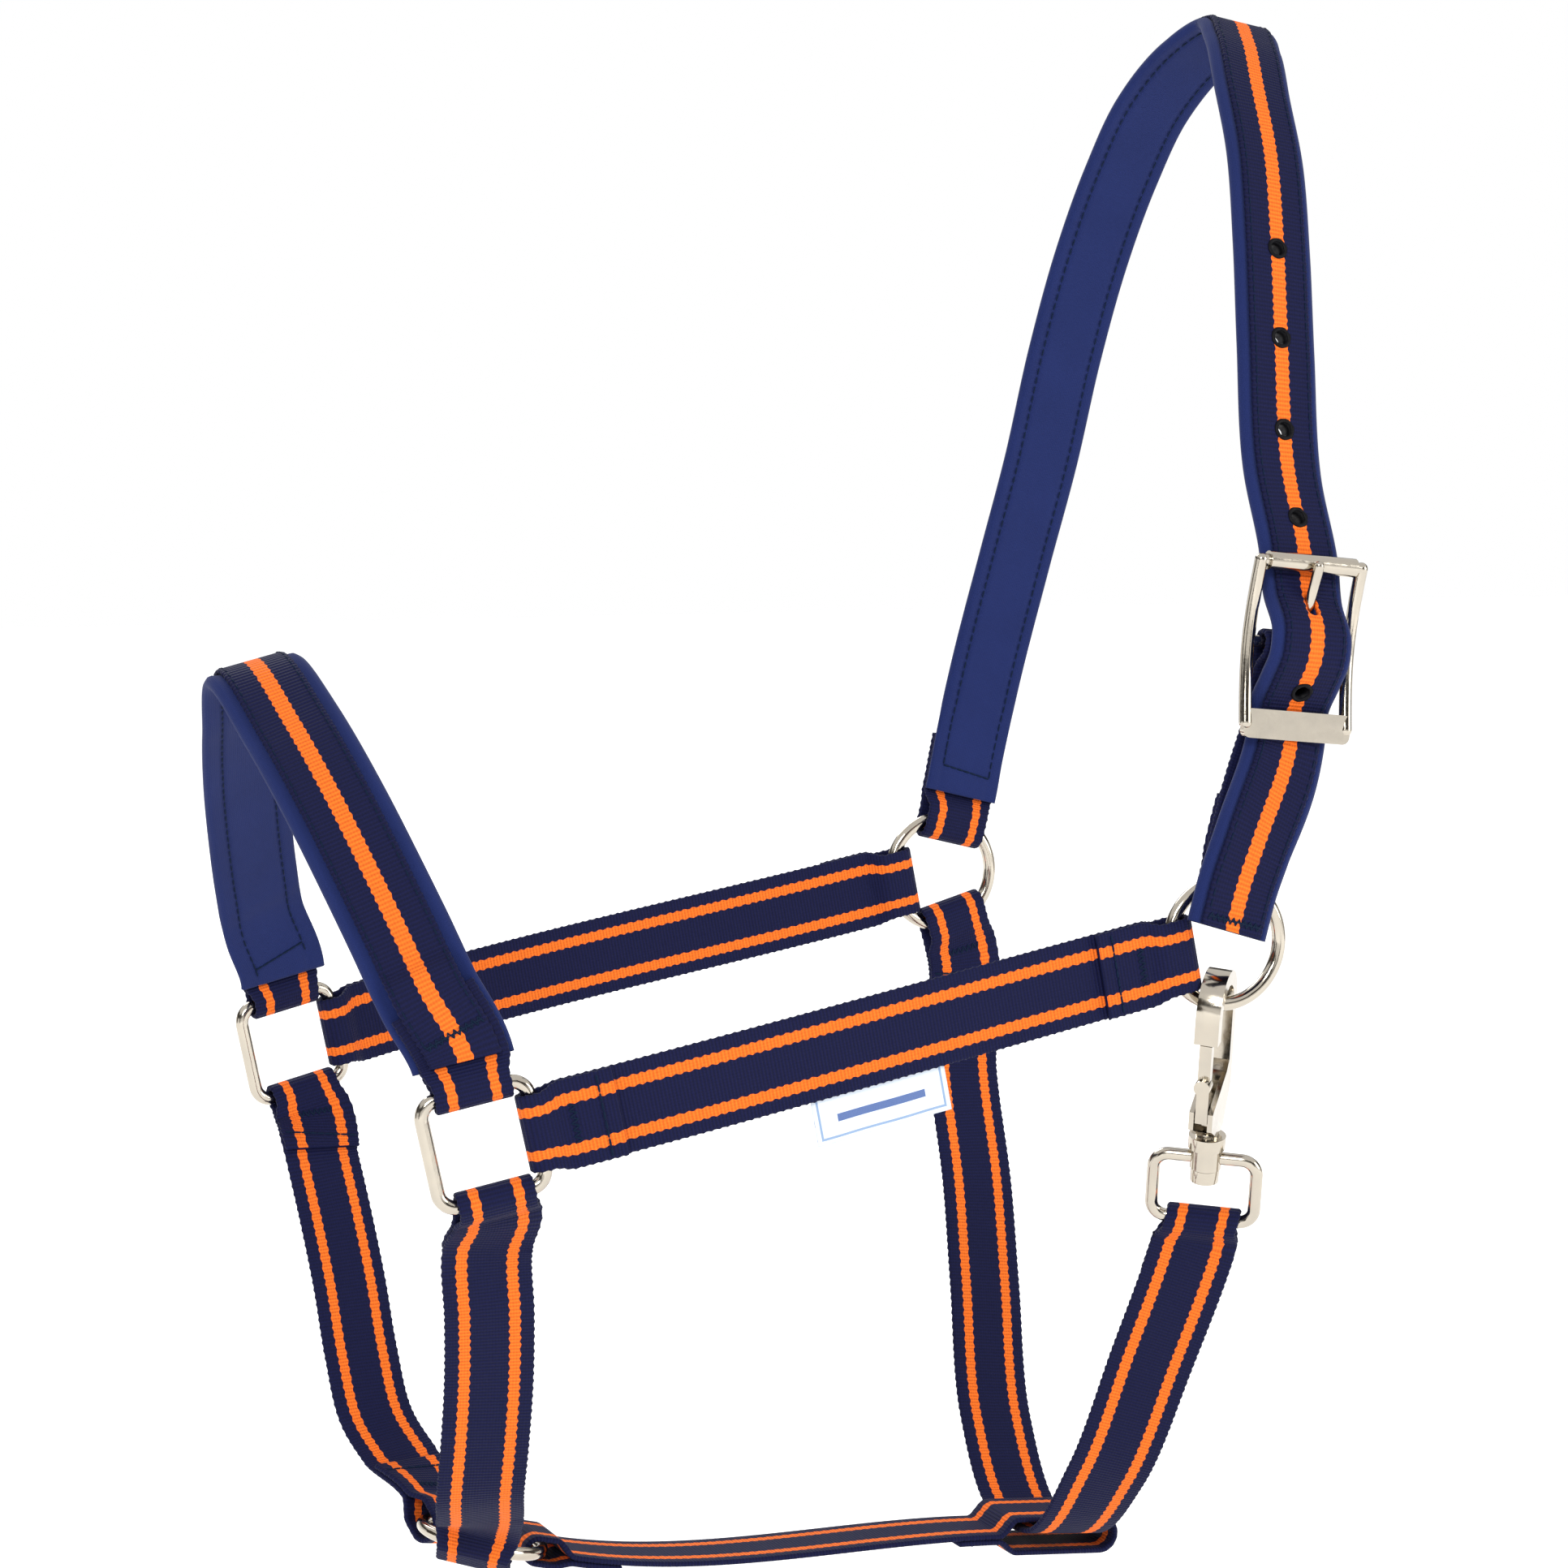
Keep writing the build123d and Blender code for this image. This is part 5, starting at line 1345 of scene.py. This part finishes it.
def floor_plane():
    low = cad_box[0][2] / MILLIMETRE - FLOOR_GAP
    corners = ((-1, -1), (1, -1), (1, 1), (-1, 1))
    points = [vec(x * FLOOR_HALF, y * FLOOR_HALF, low) for x, y in corners]
    nodes = Nodes("pale_floor")
    grain = nodes.noise(nodes.place(), 40.0, 3.0)
    nodes.set(Base_Color=nodes.mix(grain, (0.80, 0.80, 0.80, 1), (0.84, 0.84, 0.84, 1)), Roughness=0.9)
    nodes.set(Emission_Color=(1, 1, 1, 1), Emission_Strength=0.45)
    piece = made("floor", points, [(0, 1, 2, 3)], [nodes.material], None)


# Soft lamps in metres and watts: (name, place, size, power). All point at the halter's middle.
LIGHTS = [("key", (-1.6, -2.2, 1.2), 1.2, 45), ("fill", (1.8, -1.6, 0.4), 1.4, 22),
          ("back", (-0.4, 2.2, 1.4), 1.4, 25)]
LIGHT_TARGET = (-0.15, 0, -0.25)
# Grey of the world by height, from straight down to straight up, with a dark band for the metal.
WORLD_BAND = ((0.565, 1.0), (0.60, 0.10), (0.70, 0.06), (0.745, 0.9))


def area_light(name, place, size, power):
    data = bpy.data.lights.new(name, "AREA")
    data.shape = "DISK"
    data.size = size
    data.energy = power
    lamp = bpy.data.objects.new(name, data)
    bpy.context.scene.collection.objects.link(lamp)
    lamp.location = place
    aim = Vector(LIGHT_TARGET) - Vector(place)
    lamp.rotation_euler = aim.to_track_quat("-Z", "Y").to_euler()


def studio():
    world = bpy.data.worlds.new("studio")
    bpy.context.scene.world = world
    world.use_nodes = True
    tree = world.node_tree
    background = tree.nodes["Background"]
    place = tree.nodes.new("ShaderNodeTexCoord")
    split = tree.nodes.new("ShaderNodeSeparateXYZ")
    ramp = tree.nodes.new("ShaderNodeValToRGB")
    half = tree.nodes.new("ShaderNodeMath")
    half.operation = "MULTIPLY_ADD"
    half.inputs[1].default_value = 0.5
    half.inputs[2].default_value = 0.5
    tree.links.new(place.outputs["Generated"], split.inputs[0])
    tree.links.new(split.outputs[2], half.inputs[0])
    tree.links.new(half.outputs[0], ramp.inputs[0])
    tree.links.new(ramp.outputs[0], background.inputs[0])
    stops = ramp.color_ramp.elements
    stops[0].position = 0.0
    stops[0].color = (1, 1, 1, 1)
    stops[1].position = 1.0
    stops[1].color = (0.9, 0.9, 0.92, 1)
    for position, level in WORLD_BAND:
        stop = stops.new(position)
        stop.color = (level, level, level, 1)
    background.inputs[1].default_value = 1.0
    for light in LIGHTS:
        area_light(*light)


# Dark cards that only show in the metal: (degrees round from the camera, height, width, tall).
REFLECTION_CARDS = [(-38, -250, 420, 2200), (33, -250, 300, 2200), (0, 620, 1500, 260), (0, -900, 1500, 240),
                    (-95, -250, 700, 2000), (110, -250, 500, 2000), (180, 150, 900, 500)]
CARD_DISTANCE = 1900.0
CARD_DARK = (0.012, 0.009, 0.006, 1)
CARD_PALE = (0.05, 0.038, 0.026, 1)


def reflection_cards():
    nodes = Nodes("dark_card")
    grain = nodes.noise(nodes.place(), 3.0, 2.0)
    nodes.set(Base_Color=nodes.mix(grain, CARD_DARK, CARD_PALE), Roughness=0.9)
    for index, (angle, height, width, tall) in enumerate(REFLECTION_CARDS):
        cosine, sine = turned(270 - CAMERA_TURN + angle)
        out = vec(cosine, sine, 0)
        across = vec(-sine, cosine, 0)
        middle = vec(CAMERA_TARGET.x, CAMERA_TARGET.y, height) + out * CARD_DISTANCE
        points = []
        for side, rise in ((-0.5, -0.5), (0.5, -0.5), (0.5, 0.5), (-0.5, 0.5)):
            points.append(middle + across * (side * width) + vec(0, 0, rise * tall))
        card = made(f"card_{index}", points, [(0, 1, 2, 3)], [nodes.material], None)
        card.visible_camera = False
        card.visible_diffuse = False
        card.visible_shadow = False


CAMERA_TURN = 22.5          # degrees from looking straight at the near side towards the back of the head
CAMERA_DROP = 5.3           # degrees that the camera looks down
CAMERA_DISTANCE = 1222.0
CAMERA_TARGET = vec(-151, 0, -227)
CAMERA_LENS = 93.17


def photo_camera():
    data = bpy.data.cameras.new("camera")
    data.lens = CAMERA_LENS
    data.sensor_width = 36
    camera = bpy.data.objects.new("camera", data)
    bpy.context.scene.collection.objects.link(camera)
    cos_turn, sin_turn = turned(CAMERA_TURN)
    cos_drop, sin_drop = turned(CAMERA_DROP)
    forward = vec(sin_turn * cos_drop, cos_turn * cos_drop, -sin_drop)
    camera.location = (CAMERA_TARGET - forward * CAMERA_DISTANCE) * MILLIMETRE
    camera.rotation_euler = forward.to_track_quat("-Z", "Y").to_euler()
    bpy.context.scene.camera = camera


floor_plane()
studio()
reflection_cards()
photo_camera()
bpy.context.scene.view_settings.view_transform = "Standard"
